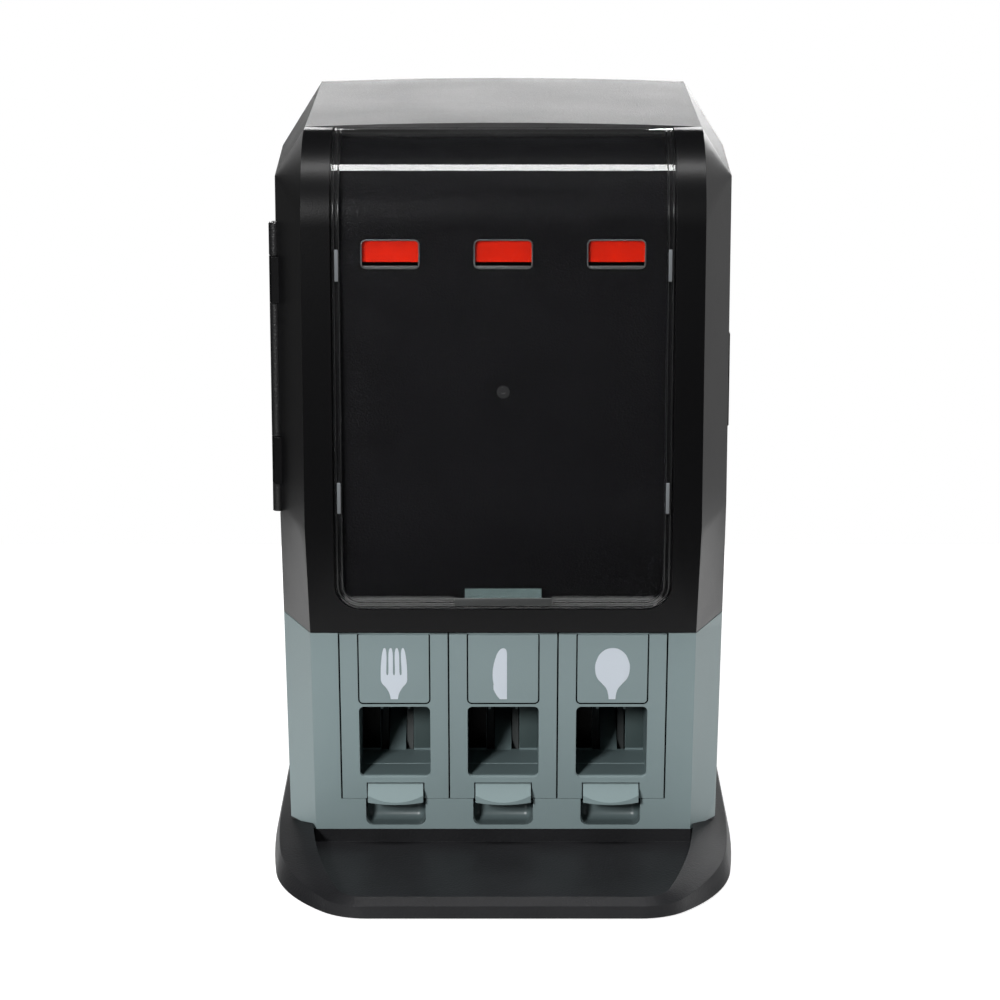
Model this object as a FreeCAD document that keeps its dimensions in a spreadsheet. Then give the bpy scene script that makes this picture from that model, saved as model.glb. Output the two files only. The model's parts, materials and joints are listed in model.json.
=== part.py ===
import FreeCAD, Part
import math
import os
import re
import Sketcher

# Countertop cutlery dispenser with three lanes, as a parametric assembly.
# Frame, in millimetres: +Z is up and z = 0 is the surface that the dispenser stands on, +X is to the right as
# seen from the front, and the front faces -Y. The origin is under the middle of the whole footprint.

DOC = FreeCAD.newDocument("cutlery_dispenser")
SHEET = DOC.addObject("Spreadsheet::Sheet", "Size")
Vector = FreeCAD.Vector

# Driving dimensions, in millimetres and degrees.
SIZES = {
    # housings and door, outer form
    "base_reach": 91.6,         # base front edge to the flat face of the door
    "door_depth": 66.5,         # flat face of the door to the seam with the rear housing
    "housing_depth": 246.5,     # seam to the back
    "body_top": 485.6,          # top plane of the door and of the rear housing's edges
    "crown": 2.5,               # rise of the top from its edges to its middle
    "fold_z": 235.2,            # height where the door's face folds back
    "front_slant": 10.0,        # lean of the face below the fold
    "door_round": 55.0,         # radius between the door's face and its top
    "seam_half": 148.5,         # half width at the seam, above the fold
    "belt_in": 1.5,             # narrower by this much at the belt line
    "skirt_in": 4.2,            # narrower by this much at the foot of the lower housing
    "facet_in": 20.1,           # seam's side to the side of the flat face
    "belt_crease_in": 1.9,      # flat face narrower by this much at the belt line
    "skirt_crease_in": 2.4,     # flat face narrower by this much at the foot of the lower housing
    "chamfer_drop": 32.0,       # height of the chamfer beside the top
    "side_flare": 10.4,         # widening of each side from the seam to the back
    "top_flare": 1.6,           # the same along the top edge
    "skirt_flare": 7.5,         # the same at the foot of the lower housing
    "belt_z": 159.5,            # lower housing meets the rear housing
    "skirt_z": 15.0,            # foot of the lower housing
    "shell": 3.0,               # wall of the housings and the door
    "door_crease_share": 0.742, # share of a wall by which the door's crease moves inward with it
    "door_seam_share": 1.045,   # the same for the seam's side
    "apex_share": 0.4,          # for the chamfer's tip
    "plan_share": 0.75,         # for the lower housing's crease
    "rear_corner_share": 0.3,   # for the rear housing's upper corners
    "rear_top_share": 0.6,      # and the edges of its top
    "seam_gap": 1.0,            # gap between the door and the rear housing
    "door_gap": 0.8,            # gap between the door and the lower housing
    "grey_step": 1.2,           # lower housing lies this far behind the door's face
    # base tray
    "base_proud": 6.5,          # base beyond the seam's sides
    "base_wall_z": 9.0,         # height of the outer wall
    "draft_side": 2.2,          # outer wall's lean at the sides
    "draft_front": 1.5,         # and in front
    "rim_z": 13.2,              # height of the crest, the rim's inner edge, in front
    "rim_tilt": 2.3,            # rise of the crest towards the back, in degrees
    "rim_under": 4.5,           # crest to the hollow under it
    "basin_z": 6.0,             # basin floor
    "rim_side": 24.4,           # width of the rim at the sides
    "rim_front": 7.9,           # width of the rim in front
    "base_skin": 3.0,           # wall of the base
    "base_lift": 1.2,           # base wall above the surface
    "side_bow": 870.0,          # large radius of the base's sides
    "foot_side_turn": 6.0,      # turns of that arc at the wall's foot, its top and the crest, in degrees
    "wall_side_turn": 5.0,
    "crest_side_turn": 6.0,
    "foot_mid_bow": 125.0,      # middle radius at the wall's foot, its top and the crest
    "wall_mid_bow": 220.0,
    "crest_mid_bow": 440.0,
    "foot_mid_turn": 38.0,      # turns of those arcs, in degrees
    "wall_mid_turn": 28.0,
    "crest_mid_turn": 12.0,
    "foot_corner": 40.0,        # radius of the front corners at the wall's foot, its top and the crest
    "wall_corner": 30.0,
    "crest_corner": 19.0,
    "rear_corner": 20.0,        # radius at the base's rear corners
    "foot_radius": 9.0,
    "foot_front": 40.0,         # front feet, from the base's front edge
    "foot_rear": 32.0,          # rear feet, from the back
    "foot_half": 100.0,         # feet, from the middle
    "locator_rise": 6.0,        # locating lip inside the lower housing
    "locator_gap": 0.4,
    # lanes and exit bays
    "lane_margin": 40.5,        # outer bay to the seam's side
    "bay_gap": 1.0,             # gap between neighbouring bay fronts
    "seat_gap": 0.3,            # gap between a piece and its seat
    "joint_lap": 1.0,           # joined features run this far into each other, and cuts past a face
    "bay_foot_z": 38.0,         # foot of the bay fronts
    "bay_plate": 3.0,           # thickness of a bay front
    "exit_width": 47.2,
    "exit_low_z": 54.0,
    "exit_high_z": 106.0,
    "exit_round": 3.5,
    "icon_width": 46.8,
    "icon_low_z": 108.6,
    "icon_round": 3.0,
    "icon_plate": 1.5,          # thickness of an icon plate
    "icon_gap": 0.25,
    # exit tray behind each opening
    "tray_wall": 2.0,
    "tray_floor": 2.8,
    "sill_run": 25.0,           # depth of the sloping sill
    "sill_rise": 3.0,
    "tray_depth": 50.0,         # face to the tray's rear wall
    "tray_head": 3.5,           # room above the opening
    "ramp_width": 11.5,
    "ramp_run": 43.4,
    "ramp_rise": 21.0,
    "ramp_thick": 3.4,
    "slot_width": 5.4,          # gap on each side of the ramp
    "guide_offset": 9.0,        # hanging guide ribs, from the middle
    "guide_thick": 1.6,
    "guide_drop": 11.0,
    "guide_ahead": 6.0,         # guide in front of the sill's end
    "guide_behind": 18.0,       # and behind it
    # finger lever
    "axle_back": 57.0,          # face to the axle
    "axle_z": 42.0,
    "axle_radius": 2.5,
    "run_gap": 0.05,            # radial clearance of a running fit
    "hub_radius": 5.6,
    "hub_half": 13.5,
    "ear_inner": 18.8,
    "ear_thick": 3.0,
    "ear_round": 6.0,           # axle's centre to the edge of its ears
    "ear_front_high": 14.0,     # top of the ears above the tray's floor, in front
    "ear_back_high": 10.0,
    "flange_in": 6.0,           # chute's front edge to the tray's side flanges
    "flange_lift": 3.0,         # tray's floor to the foot of the side flanges
    "tab_width": 37.0,
    "tab_top_z": 49.0,
    "tab_low_z": 36.3,
    "tab_reach": 9.0,           # lip in front of the face
    "tab_edge": 1.6,            # height of the lip's front edge
    "tab_rise": 4.0,            # underside of the tab above its lip
    "tab_under": 5.0,           # face to the back of the tab's underside
    "tab_root": 8.0,            # face to the front of the neck's underside
    "tab_back": 12.0,           # face to the back of the tab
    "tab_gap": 0.8,             # tab to the notch in the bay front
    "lip_bow": 3.0,             # the lip's middle in front of its corners
    "neck_thick": 4.5,
    "arm_length": 60.0,         # axle to the tip of the upright arms
    "arm_lean": 14.0,           # backward lean of the arms at rest, and the stroke of the lever
    "arm_inner": 6.4,
    "arm_thick": 4.2,
    "arm_gap": 0.5,             # arm to the sides of its slot in the pusher
    "tip_radius": 3.0,
    "spring_wire": 1.1,
    "spring_turns": 3.0,
    "spring_pitch": 1.2,
    "spring_gap": 0.5,          # coil to axle
    # scoop under each lever
    "scoop_width": 40.0,
    "scoop_low_z": 18.0,
    "scoop_round": 5.0,
    "scoop_depth": 14.0,
    "scoop_back_z": 30.0,       # top of the scoop's rear wall
    "scoop_wall": 2.5,
    # chute
    "chute_clear": 1.0,         # chute to the lane's edge
    "chute_wall": 2.0,
    "chute_front": 1.5,         # seam to the chute's front edge
    "chute_under": 45.6,        # top plane to the top of the chutes
    "chute_floor": 3.0,
    "rail_width": 6.0,          # ledge that carries the pusher
    "rail_thick": 2.5,
    # pusher
    "pusher_z": 92.3,           # underside of the rails of the pusher
    "pusher_rail_width": 4.0,
    "pusher_rail_high": 6.0,
    "pusher_half": 32.0,
    "bar_wall": 2.2,
    "bar_head": 3.0,
    "bar_clear": 0.4,           # top of the arms' swing to the bar
    "rail_ahead": 3.0,          # ledges start this far in front of the pusher
    "tip_gap": 0.15,
    "kicker_thick": 4.0,
    "kicker_gap": 1.3,          # kicker to the chute's rear wall at rest
    "kicker_lift": 0.4,         # kicker above the chute floor
    # window, panel, flags
    "window_in": 39.5,          # seam's side to the window's edge
    "window_gap": 1.0,
    "window_low_z": 177.5,
    "window_round": 16.5,
    "window_set": 0.4,          # window behind the door's face
    "window_thick": 2.4,
    "ledge_width": 6.0,         # ledge behind the window's edge
    "ledge_under": 8.0,         # ledge hidden behind the frame
    "ledge_depth": 6.0,         # back of the ledge, from the door's face
    "panel_thick": 2.5,
    "panel_in": 32.0,           # seam's side to the panel's edge
    "panel_low_z": 174.0,
    "flag_slot_width": 36.8,
    "slot_under": 6.5,          # pivot to the top of the flag slots
    "flag_slot_high": 18.1,
    "flag_slot_round": 3.0,
    "flag_width": 40.0,
    "flag_drop": 21.0,          # pivot to the flag's lower edge
    "flag_thick": 2.0,
    "flag_set": 0.5,            # flag behind the panel
    "pivot_back": 13.0,         # flag pivot, from the door's face
    "pivot_under": 12.0,        # top of the carrier to the flag pivot
    "pivot_radius": 1.2,
    "flag_hub": 3.0,
    "tail_length": 60.0,
    "tail_width": 6.0,
    "tail_thick": 3.0,
    "tail_step": 8.0,           # pivot to the bend of the flag's tail
    "tail_dip": 3.0,            # drop of the tail at its bend
    "tail_drop": 12.0,          # drop of the tail at its end
    "carrier_gap": 0.3,
    "carrier_thick": 3.0,
    "carrier_stand": 3.0,       # front of the carrier's posts to its bar
    "carrier_room": 3.4,        # flag's edge to the carrier's plate
    "carrier_ear_gap": 0.6,     # flag to the carrier's ears
    "carrier_ear_set": 1.4,     # front of the ears behind the front of the posts
    "carrier_ear_half": 4.0,    # pivot to the edges of the ears
    "carrier_boss": 5.0,        # radius of the boss for the panel's screw
    "carrier_under": 45.6,      # top plane to the top of the carrier
    "carrier_bar": 6.0,
    "carrier_in": 23.9,         # seam's side to the carrier's end
    "carrier_tail": 9.0,        # panel screw to the carrier's lower edge
    "carrier_plate_half": 38.0,
    "carrier_ear_thick": 2.5,
    "screw_under": 105.0,       # flag pivot to the panel screw
    "screw_radius": 2.0,
    "screw_head": 4.2,
    "screw_length": 12.0,
    "post_in": 27.0,            # seam's side to the posts
    "post_radius": 3.2,
    "post_screw": 1.25,
    "post_clear": 0.2,          # screw in the carrier's hole
    "post_head": 2.6,
    "post_head_high": 1.8,
    "clip_width": 50.0,
    "clip_low_z": 184.0,
    "clip_high": 6.5,
    # hinge
    "hinge_out": 0.8,           # hinge axis outside the seam's side
    "knuckle_radius": 3.8,
    "knuckle_gap": 0.4,
    "web_set": 0.6,             # knuckle's root to the seam
    "web_long": 7.0,            # seam to the end of the root
    "web_in": 4.5,              # hinge axis to the root's inner side
    "hinge_pin": 1.8,
    "hinge_under": 62.3,        # top plane to the top of the hinge
    "knuckle_a": 21.7,          # knuckle lengths, from the top
    "knuckle_b": 31.2,
    "knuckle_c": 89.5,
    "knuckle_d": 32.0,
    "knuckle_e": 19.2,
    # latch
    "latch_low_z": 286.0,
    "latch_high_z": 349.0,
    "latch_front": 3.8,         # seam to the latch plate
    "latch_length": 23.2,
    "latch_proud": 1.0,
    "latch_thick": 3.0,
    "latch_gap": 0.6,
    "latch_swing": 1.4,         # gap ahead of the plate, for its edge as it tips in
    "latch_pin": 2.0,
    "latch_pin_back": 19.2,     # plate front to pin
    "latch_pin_in": 7.5,        # side face to pin
    "latch_hub_wall": 2.0,
    "latch_web": 1.5,           # half thickness of the rib between hub and plate
    "latch_lug": 6.0,           # height of the lugs that hold the pin
    "latch_lug_half": 5.0,
    "nose_reach": 8.0,
    "nose_thick": 3.0,
    "nose_in": 11.0,            # side face to the nose
    "nose_high": 30.0,
    "nose_root": 4.0,           # plate's front edge to the bends of the nose
    "catch_over": 3.0,          # catch beyond the nose
    "catch_gap": 0.5,
    # screws between the shells
    "fix_radius": 2.0,
    "fix_head": 4.0,
    "fix_head_high": 2.4,
    "fix_length": 16.0,
    "fix_clear": 0.3,           # screw in a clearance hole
    "boss_radius": 5.5,
    "boss_in": 14.0,            # side face to the boss
    "boss_front": 40.0,         # seam to the front bosses
    "boss_rear": 34.0,          # back to the rear bosses
    "boss_rise": 26.0,
    "boss_clear": 0.5,          # boss to its recess in the base
    "boss_rib": 1.5,            # half thickness of the rib from boss to wall
    "ear_high": 8.0,
    "ear_reach": 16.0,
    "ear_clear": 1.5,           # rear lugs, further inward than the wall needs
    "ear_long": 18.0,
}

# Places worked out from the driving dimensions, as expressions of them.
PLACES = {
    "crease_half": "seam_half - facet_in",
    "belt_half": "seam_half - belt_in",
    "belt_crease_half": "crease_half - belt_crease_in",
    "skirt_half": "seam_half - skirt_in",
    "skirt_crease_half": "crease_half - skirt_crease_in",
    "base_half": "seam_half + base_proud",
    "crest_half": "base_half - rim_side",
    "seat_top": "2 * skirt_z + rim_z",
    "lane_pitch": "(seam_half - lane_margin) * 2 / 3",
    "chute_half": "lane_pitch / 2 - chute_clear",
    "chute_top_z": "body_top - chute_under",
    "window_half": "seam_half - window_in",
    "panel_half": "seam_half - panel_in",
    "carrier_half": "seam_half - carrier_in",
    "post_half": "seam_half - post_in",
    "carrier_top_z": "body_top - carrier_under",
    "pivot_z": "carrier_top_z - pivot_under",
    "flag_slot_high_z": "pivot_z - slot_under",
    "flag_slot_low_z": "flag_slot_high_z - flag_slot_high",
    "flag_low_z": "pivot_z - flag_drop",
    "screw_z": "pivot_z - screw_under",
    "carrier_low_z": "screw_z - carrier_tail",
    "hinge_top_z": "body_top - hinge_under",
    "face_y": "(base_reach - door_depth - housing_depth) / 2",
    "seam_y": "face_y + door_depth",
    "back_y": "seam_y + housing_depth",
    "base_front_y": "face_y - base_reach",
    "door_back_y": "seam_y - seam_gap / 2",
    "rear_front_y": "seam_y + seam_gap / 2",
    "door_low_z": "belt_z + door_gap",
    "arc_z": "body_top - door_round",
    "grey_y": "face_y + grey_step",
    "bay_half": "(lane_pitch - bay_gap) / 2",
    "exit_half": "exit_width / 2",
    "tray_back_y": "grey_y + (fold_z - floor_z) * tan(front_slant) + tray_depth",
    "floor_z": "exit_low_z + sill_rise",
    "ramp_top_z": "floor_z + ramp_rise",
    "ramp_end_y": "tray_back_y + ramp_run",
    "axle_y": "grey_y + (fold_z - axle_z) * tan(front_slant) + axle_back",
    "tip_y": "axle_y + arm_length * sin(arm_lean)",
    "tip_z": "axle_z + arm_length * cos(arm_lean)",
    "chute_front_y": "seam_y + chute_front",
    "chute_back_y": "back_y - shell - seat_gap",
    "chute_floor_z": "ramp_top_z + 1",
    "pusher_front_y": "tip_y - tip_radius - tip_gap - bar_wall",
    "kicker_y": "chute_back_y - chute_wall - kicker_gap - kicker_thick",
    "panel_set": "ledge_depth + seat_gap",
    "panel_back": "panel_set + panel_thick",
    "recess_half": "window_half + window_gap",
    "recess_low_z": "window_low_z - window_gap",
    "carrier_y": "face_y + panel_back + carrier_gap",
    "pivot_y": "face_y + pivot_back",
    "hinge_x": "0 - seam_half - hinge_out",
    "knuckle_b_z": "hinge_top_z - knuckle_a",
    "knuckle_c_z": "knuckle_b_z - knuckle_b",
    "knuckle_d_z": "knuckle_c_z - knuckle_c",
    "knuckle_e_z": "knuckle_d_z - knuckle_d",
    "hinge_low_z": "knuckle_e_z - knuckle_e",
    "latch_y": "rear_front_y + latch_front",
    "latch_pin_x": "seam_half - latch_pin_in",
    "latch_pin_y": "latch_y + latch_pin_back",
    "latch_mid_z": "(latch_low_z + latch_high_z) / 2",
    "nose_x": "seam_half - nose_in",
    "boss_front_x": "skirt_half - boss_in",
    "boss_rear_x": "skirt_half + skirt_flare * (housing_depth - boss_rear) / housing_depth - boss_in",
    "boss_front_y": "seam_y + boss_front",
    "boss_rear_y": "back_y - boss_rear",
    "deck_z": "skirt_z - base_skin",
    "ear_front_y": "seam_y + ear_long",
    "ear_rear_y": "back_y - shell - ear_long",
    "ear_front_x": "belt_half - shell - ear_reach / 2",
    "ear_rear_x": "belt_half + side_flare - shell - ear_reach / 2 - ear_clear",
}

NODES = {}


def ex(text):
    """Turn plain size and place names into references to the sheet's cells."""
    def word(match):
        name = match.group(0)
        if name in PLACES:
            return "(" + ex(PLACES[name]) + ")"
        return "Size." + name if name in SIZES else name
    return re.sub(r"[a-z_][a-z_0-9]*", word, str(text))


def number(text):
    """The value of an expression, in millimetres or degrees."""
    return float(SHEET.evalExpression(ex(text)))


def bind(item, **values):
    """Bind properties to expressions; a double underscore in a name stands for a dot."""
    for name, text in values.items():
        item.setExpression(name.replace("__", "."), ex(text))
    return item


def fill_sheet():
    """Write each driving dimension into a cell of the sheet, with its alias."""
    for row, (alias, value) in enumerate(SIZES.items(), start=1):
        SHEET.set("A%d" % row, alias)
        SHEET.set("B%d" % row, str(value))
        SHEET.setAlias("B%d" % row, alias)
    DOC.recompute()


def move(item, x="0", y="0", z="0"):
    """Bind the place of an object."""
    return bind(item, Placement__Base__x=x, Placement__Base__y=y, Placement__Base__z=z)


def half(text):
    """The span from minus a value to plus that value."""
    return ("0 - (%s)" % text, text)


def side_span(sign, near, far):
    """The span between two distances from the middle, on the right (+1) or on the left (-1)."""
    return (near, far) if sign > 0 else ("0 - (%s)" % far, "0 - (%s)" % near)


def front(z, behind="0"):
    """Y of the lower housing's face at a height, plus a distance behind it."""
    return "(grey_y + (fold_z - (%s)) * tan(front_slant) + (%s))" % (z, behind)


# ---- Part objects -------------------------------------------------------------------------------------------

def block(name, x, y, z):
    """A box between two planes on each axis."""
    item = DOC.addObject("Part::Box", name)
    for prop, (low, high) in (("Length", x), ("Width", y), ("Height", z)):
        bind(item, **{prop: "(%s) - (%s)" % (high, low)})
    return move(item, x[0], y[0], z[0])


ALONG = {
    "x": FreeCAD.Rotation(Vector(0, 1, 0), 90),
    "y": FreeCAD.Rotation(Vector(1, 0, 0), -90),
    "z": FreeCAD.Rotation(),
}


def rod(name, axis, radius, start, length):
    """A cylinder from a start point along an axis."""
    item = DOC.addObject("Part::Cylinder", name)
    item.Placement = FreeCAD.Placement(Vector(), ALONG[axis])
    bind(item, Radius=radius, Height=length)
    return move(item, *start)


def cone(name, axis, radius_1, radius_2, start, length):
    """A cone from a start point along an axis."""
    item = DOC.addObject("Part::Cone", name)
    item.Placement = FreeCAD.Placement(Vector(), ALONG[axis])
    bind(item, Radius1=radius_1, Radius2=radius_2, Height=length)
    return move(item, *start)


def fuse(name, *parts):
    """Several touching solids joined into one."""
    item = DOC.addObject("Part::MultiFuse", name)
    item.Shapes = list(parts)
    item.Refine = True
    return item


def cut(name, base, *tools):
    """A solid less other solids."""
    item = DOC.addObject("Part::Cut", name)
    item.Base = base
    item.Tool = tools[0] if len(tools) == 1 else fuse(name + "_tools", *tools)
    item.Refine = True
    return item


def common(name, first, second):
    """What two solids share."""
    item = DOC.addObject("Part::Common", name)
    item.Base = first
    item.Tool = second
    item.Refine = True
    return item


def group(name, *parts):
    """Separate solids in one node."""
    item = DOC.addObject("Part::Compound", name)
    item.Links = list(parts)
    return item


def solid_of(name, shape):
    """A solid made with Part's own functions."""
    item = DOC.addObject("Part::Feature", name)
    item.Shape = shape
    return item


# ---- Sketches -----------------------------------------------------------------------------------------------

def draw(sketch, corners):
    """Draw a closed outline of corners (u, v) or (u, v, radius), each bound to its expressions."""
    points = [Vector(number(c[0]), number(c[1]), 0) for c in corners]
    radii = [number(c[2]) if len(c) > 2 else 0 for c in corners]
    count = len(points)
    ends, starts, middles = [], [], []
    for i, point in enumerate(points):
        back = (points[i - 1] - point).normalize()
        ahead = (points[(i + 1) % count] - point).normalize()
        opening = back.getAngle(ahead)
        trim = radii[i] / math.tan(opening / 2) if radii[i] else 0
        ends.append(point + back * trim)
        starts.append(point + ahead * trim)
        inward = (back + ahead).normalize() if radii[i] else Vector()
        middles.append(point + inward * (radii[i] / math.sin(opening / 2) - radii[i]) if radii[i] else None)
    for i in range(count):
        sketch.addGeometry(Part.LineSegment(starts[i], ends[(i + 1) % count]), False)
    for i, corner in enumerate(corners):
        before = (i - 1) % count
        if radii[i]:
            turn = (points[i] - points[i - 1]).cross(points[(i + 1) % count] - points[i]).z
            way = (ends[i], middles[i], starts[i]) if turn > 0 else (starts[i], middles[i], ends[i])
            arc = sketch.addGeometry(Part.Arc(*way), False)
            first = 1 if (sketch.Geometry[arc].StartPoint - ends[i]).Length < 1e-6 else 2
            mark = sketch.addGeometry(Part.Point(points[i]), True)
            sketch.addConstraint(Sketcher.Constraint("Tangent", before, 2, arc, first))
            sketch.addConstraint(Sketcher.Constraint("Tangent", i, 1, arc, 3 - first))
            sketch.addConstraint(Sketcher.Constraint("PointOnObject", mark, 1, before))
            sketch.addConstraint(Sketcher.Constraint("PointOnObject", mark, 1, i))
            fix(sketch, Sketcher.Constraint("Radius", arc, radii[i]), "round%d" % i, corner[2])
        else:
            sketch.addConstraint(Sketcher.Constraint("Coincident", before, 2, i, 1))
            mark = i
        fix(sketch, Sketcher.Constraint("DistanceX", -1, 1, mark, 1, points[i].x), "across%d" % i, corner[0])
        fix(sketch, Sketcher.Constraint("DistanceY", -1, 1, mark, 1, points[i].y), "along%d" % i, corner[1])


def fix(sketch, constraint, name, text):
    """Add a named dimension to a sketch and bind it."""
    index = sketch.addConstraint(constraint)
    sketch.renameConstraint(index, name)
    sketch.setExpression("Constraints." + name, ex(text))


FACING = {
    "XY": FreeCAD.Rotation(),
    "XZ": FreeCAD.Rotation(Vector(1, 0, 0), 90),
    "YZ": FreeCAD.Rotation(Vector(1, 1, 1), 120),
}
NORMAL = {"XY": "z", "XZ": "y", "YZ": "x"}
WAY = {"XY": Vector(0, 0, 1), "XZ": Vector(0, 1, 0), "YZ": Vector(1, 0, 0)}


def outline(name, plane, corners, at="0"):
    """A free sketch on a plane parallel to a main plane."""
    sketch = DOC.addObject("Sketcher::SketchObject", name)
    draw(sketch, corners)
    sketch.Placement = FreeCAD.Placement(Vector(), FACING[plane])
    bind(sketch, **{"Placement__Base__" + NORMAL[plane]: at})
    return sketch


def prism(name, plane, corners, span):
    """An outline drawn out along its plane's axis, between two places."""
    item = DOC.addObject("Part::Extrusion", name)
    item.Base = outline(name + "_outline", plane, corners, span[0])
    item.DirMode = "Custom"
    item.Dir = WAY[plane]
    item.Solid = True
    return bind(item, LengthFwd="(%s) - (%s)" % (span[1], span[0]))


def loft(name, plane, sections):
    """A ruled solid through outlines, each given with its place."""
    item = DOC.addObject("Part::Loft", name)
    item.Sections = [outline("%s_section%d" % (name, i), plane, corners, at)
                     for i, (at, corners) in enumerate(sections)]
    item.Solid = True
    item.Ruled = True
    return item


def slab(x, z, radius=None):
    """Corners of a rectangle, with rounded corners if a radius is given."""
    corners = [(x[0], z[0]), (x[1], z[0]), (x[1], z[1]), (x[0], z[1])]
    return [c + (radius,) for c in corners] if radius else corners


class Piece:
    """One PartDesign body that grows feature by feature."""

    def __init__(self, label):
        self.label = label
        self.count = 0
        self.body = DOC.addObject("PartDesign::Body", label)
        self.planes = {o.Role[:2]: o for o in self.body.Origin.OriginFeatures if o.Role.endswith("_Plane")}

    def sketch(self, plane, corners, at):
        """Attach an outline to one of the body's own planes, at a place along its axis."""
        self.count += 1
        sketch = self.body.newObject("Sketcher::SketchObject", "%s_sketch%d" % (self.label, self.count))
        sketch.AttachmentSupport = [(self.planes[plane], "")]
        sketch.MapMode = "FlatFace"
        bind(sketch, AttachmentOffset__Base__z="0 - (%s)" % at if plane == "XZ" else at)
        draw(sketch, corners)
        return sketch

    def feature(self, kind, plane, corners, span, turned):
        """Add a pad or pocket between two places along the plane's axis."""
        before = self.body.Shape.Volume if self.body.Tip else 0
        sketch = self.sketch(plane, corners, span[0])
        item = self.body.newObject("PartDesign::" + kind, "%s_%s%d" % (self.label, kind.lower(), self.count))
        item.Profile = sketch
        item.Reversed = turned
        bind(item, Length="(%s) - (%s)" % (span[1], span[0]))
        DOC.recompute()
        if abs(self.body.Shape.Volume - before) < 1e-3:
            raise ValueError("%s changes nothing" % item.Name)
        return self

    def pad(self, plane, corners, span):
        """Add material."""
        return self.feature("Pad", plane, corners, span, plane == "XZ")

    def pocket(self, plane, corners, span):
        """Take material away."""
        return self.feature("Pocket", plane, corners, span, plane != "XZ")

    def fillet(self, radius, wanted):
        """Round the edges that a test picks."""
        base = self.body.Tip
        names = ["Edge%d" % i for i, edge in enumerate(base.Shape.Edges, start=1) if wanted(edge.BoundBox)]
        if not names:
            raise ValueError("%s has no edge to round" % self.label)
        item = self.body.newObject("PartDesign::Fillet", "%s_round" % self.label)
        item.Base = (base, names)
        bind(item, Radius=radius)
        DOC.recompute()
        return self


def node(label, item):
    """Register an object as a sub-part; its label names its file."""
    item.Label = label
    NODES[label] = item
    return item


LANES = (("left", -1), ("centre", 0), ("right", 1))


def lane(index):
    """X of a lane's middle."""
    return "%d * lane_pitch" % index


# ---- Base ---------------------------------------------------------------------------------------------------

def tray_outline(z, inset, half_width, y_front, y_back, bends, rear):
    """Outline of the base at a height: a front edge, tangent arcs, straight sides and rounded rear corners."""
    bends = [(radius - inset, turn) for radius, turn in bends]
    half_width, y_front, y_back, rear = half_width - inset, y_front + inset, y_back - inset, rear - inset
    heading = 0.0
    spread = 0.0
    for radius, turn in bends:
        spread += radius * (math.sin(math.radians(heading + turn)) - math.sin(math.radians(heading)))
        heading += turn
    point = Vector(half_width - spread, y_front, z)
    edges = [Part.LineSegment(Vector(-point.x, y_front, z), point).toShape()]
    heading = 0.0
    side = []
    for radius, turn in bends:
        centre = point + Vector(-math.sin(math.radians(heading)), math.cos(math.radians(heading)), 0) * radius
        arc = [centre + Vector(math.sin(math.radians(a)), -math.cos(math.radians(a)), 0) * radius
               for a in (heading, heading + turn / 2, heading + turn)]
        side.append(arc)
        point = arc[2]
        heading += turn
    corner = Vector(half_width - rear, y_back - rear, z)
    side.append([point, Vector(half_width, y_back - rear, z)])
    side.append([corner + Vector(math.cos(math.radians(a)), math.sin(math.radians(a)), 0) * rear
                 for a in (0, 45, 90)])
    mirrored = [[Vector(-p.x, p.y, p.z) for p in reversed(stretch)] for stretch in reversed(side)]
    rear_edge = [[Vector(half_width - rear, y_back, z), Vector(rear - half_width, y_back, z)]]
    for stretch in side + rear_edge + mirrored:
        curve = Part.Arc(*stretch) if len(stretch) == 3 else Part.LineSegment(*stretch)
        edges.append(curve.toShape())
    return Part.Wire(edges)


def footprint(inset, z):
    """Corners of the lower housing's plan at its foot, moved inward."""
    return [
        ("0 - skirt_crease_half + (%s)" % inset, front(z, inset)),
        ("skirt_crease_half - (%s)" % inset, front(z, inset)),
        ("skirt_half - (%s)" % inset, "seam_y"),
        ("skirt_half + skirt_flare - (%s)" % inset, "back_y - (%s)" % inset),
        ("0 - skirt_half - skirt_flare + (%s)" % inset, "back_y - (%s)" % inset),
        ("0 - skirt_half + (%s)" % inset, "seam_y"),
    ]


def corner_bends(outline):
    """Front corner of one of the base's outlines: three tangent arcs, each a radius and a turn."""
    mid_turn, side_turn = number(outline + "_mid_turn"), number(outline + "_side_turn")
    return [(number(outline + "_corner"), 90 - mid_turn - side_turn),
            (number(outline + "_mid_bow"), mid_turn), (number("side_bow"), side_turn)]


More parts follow.
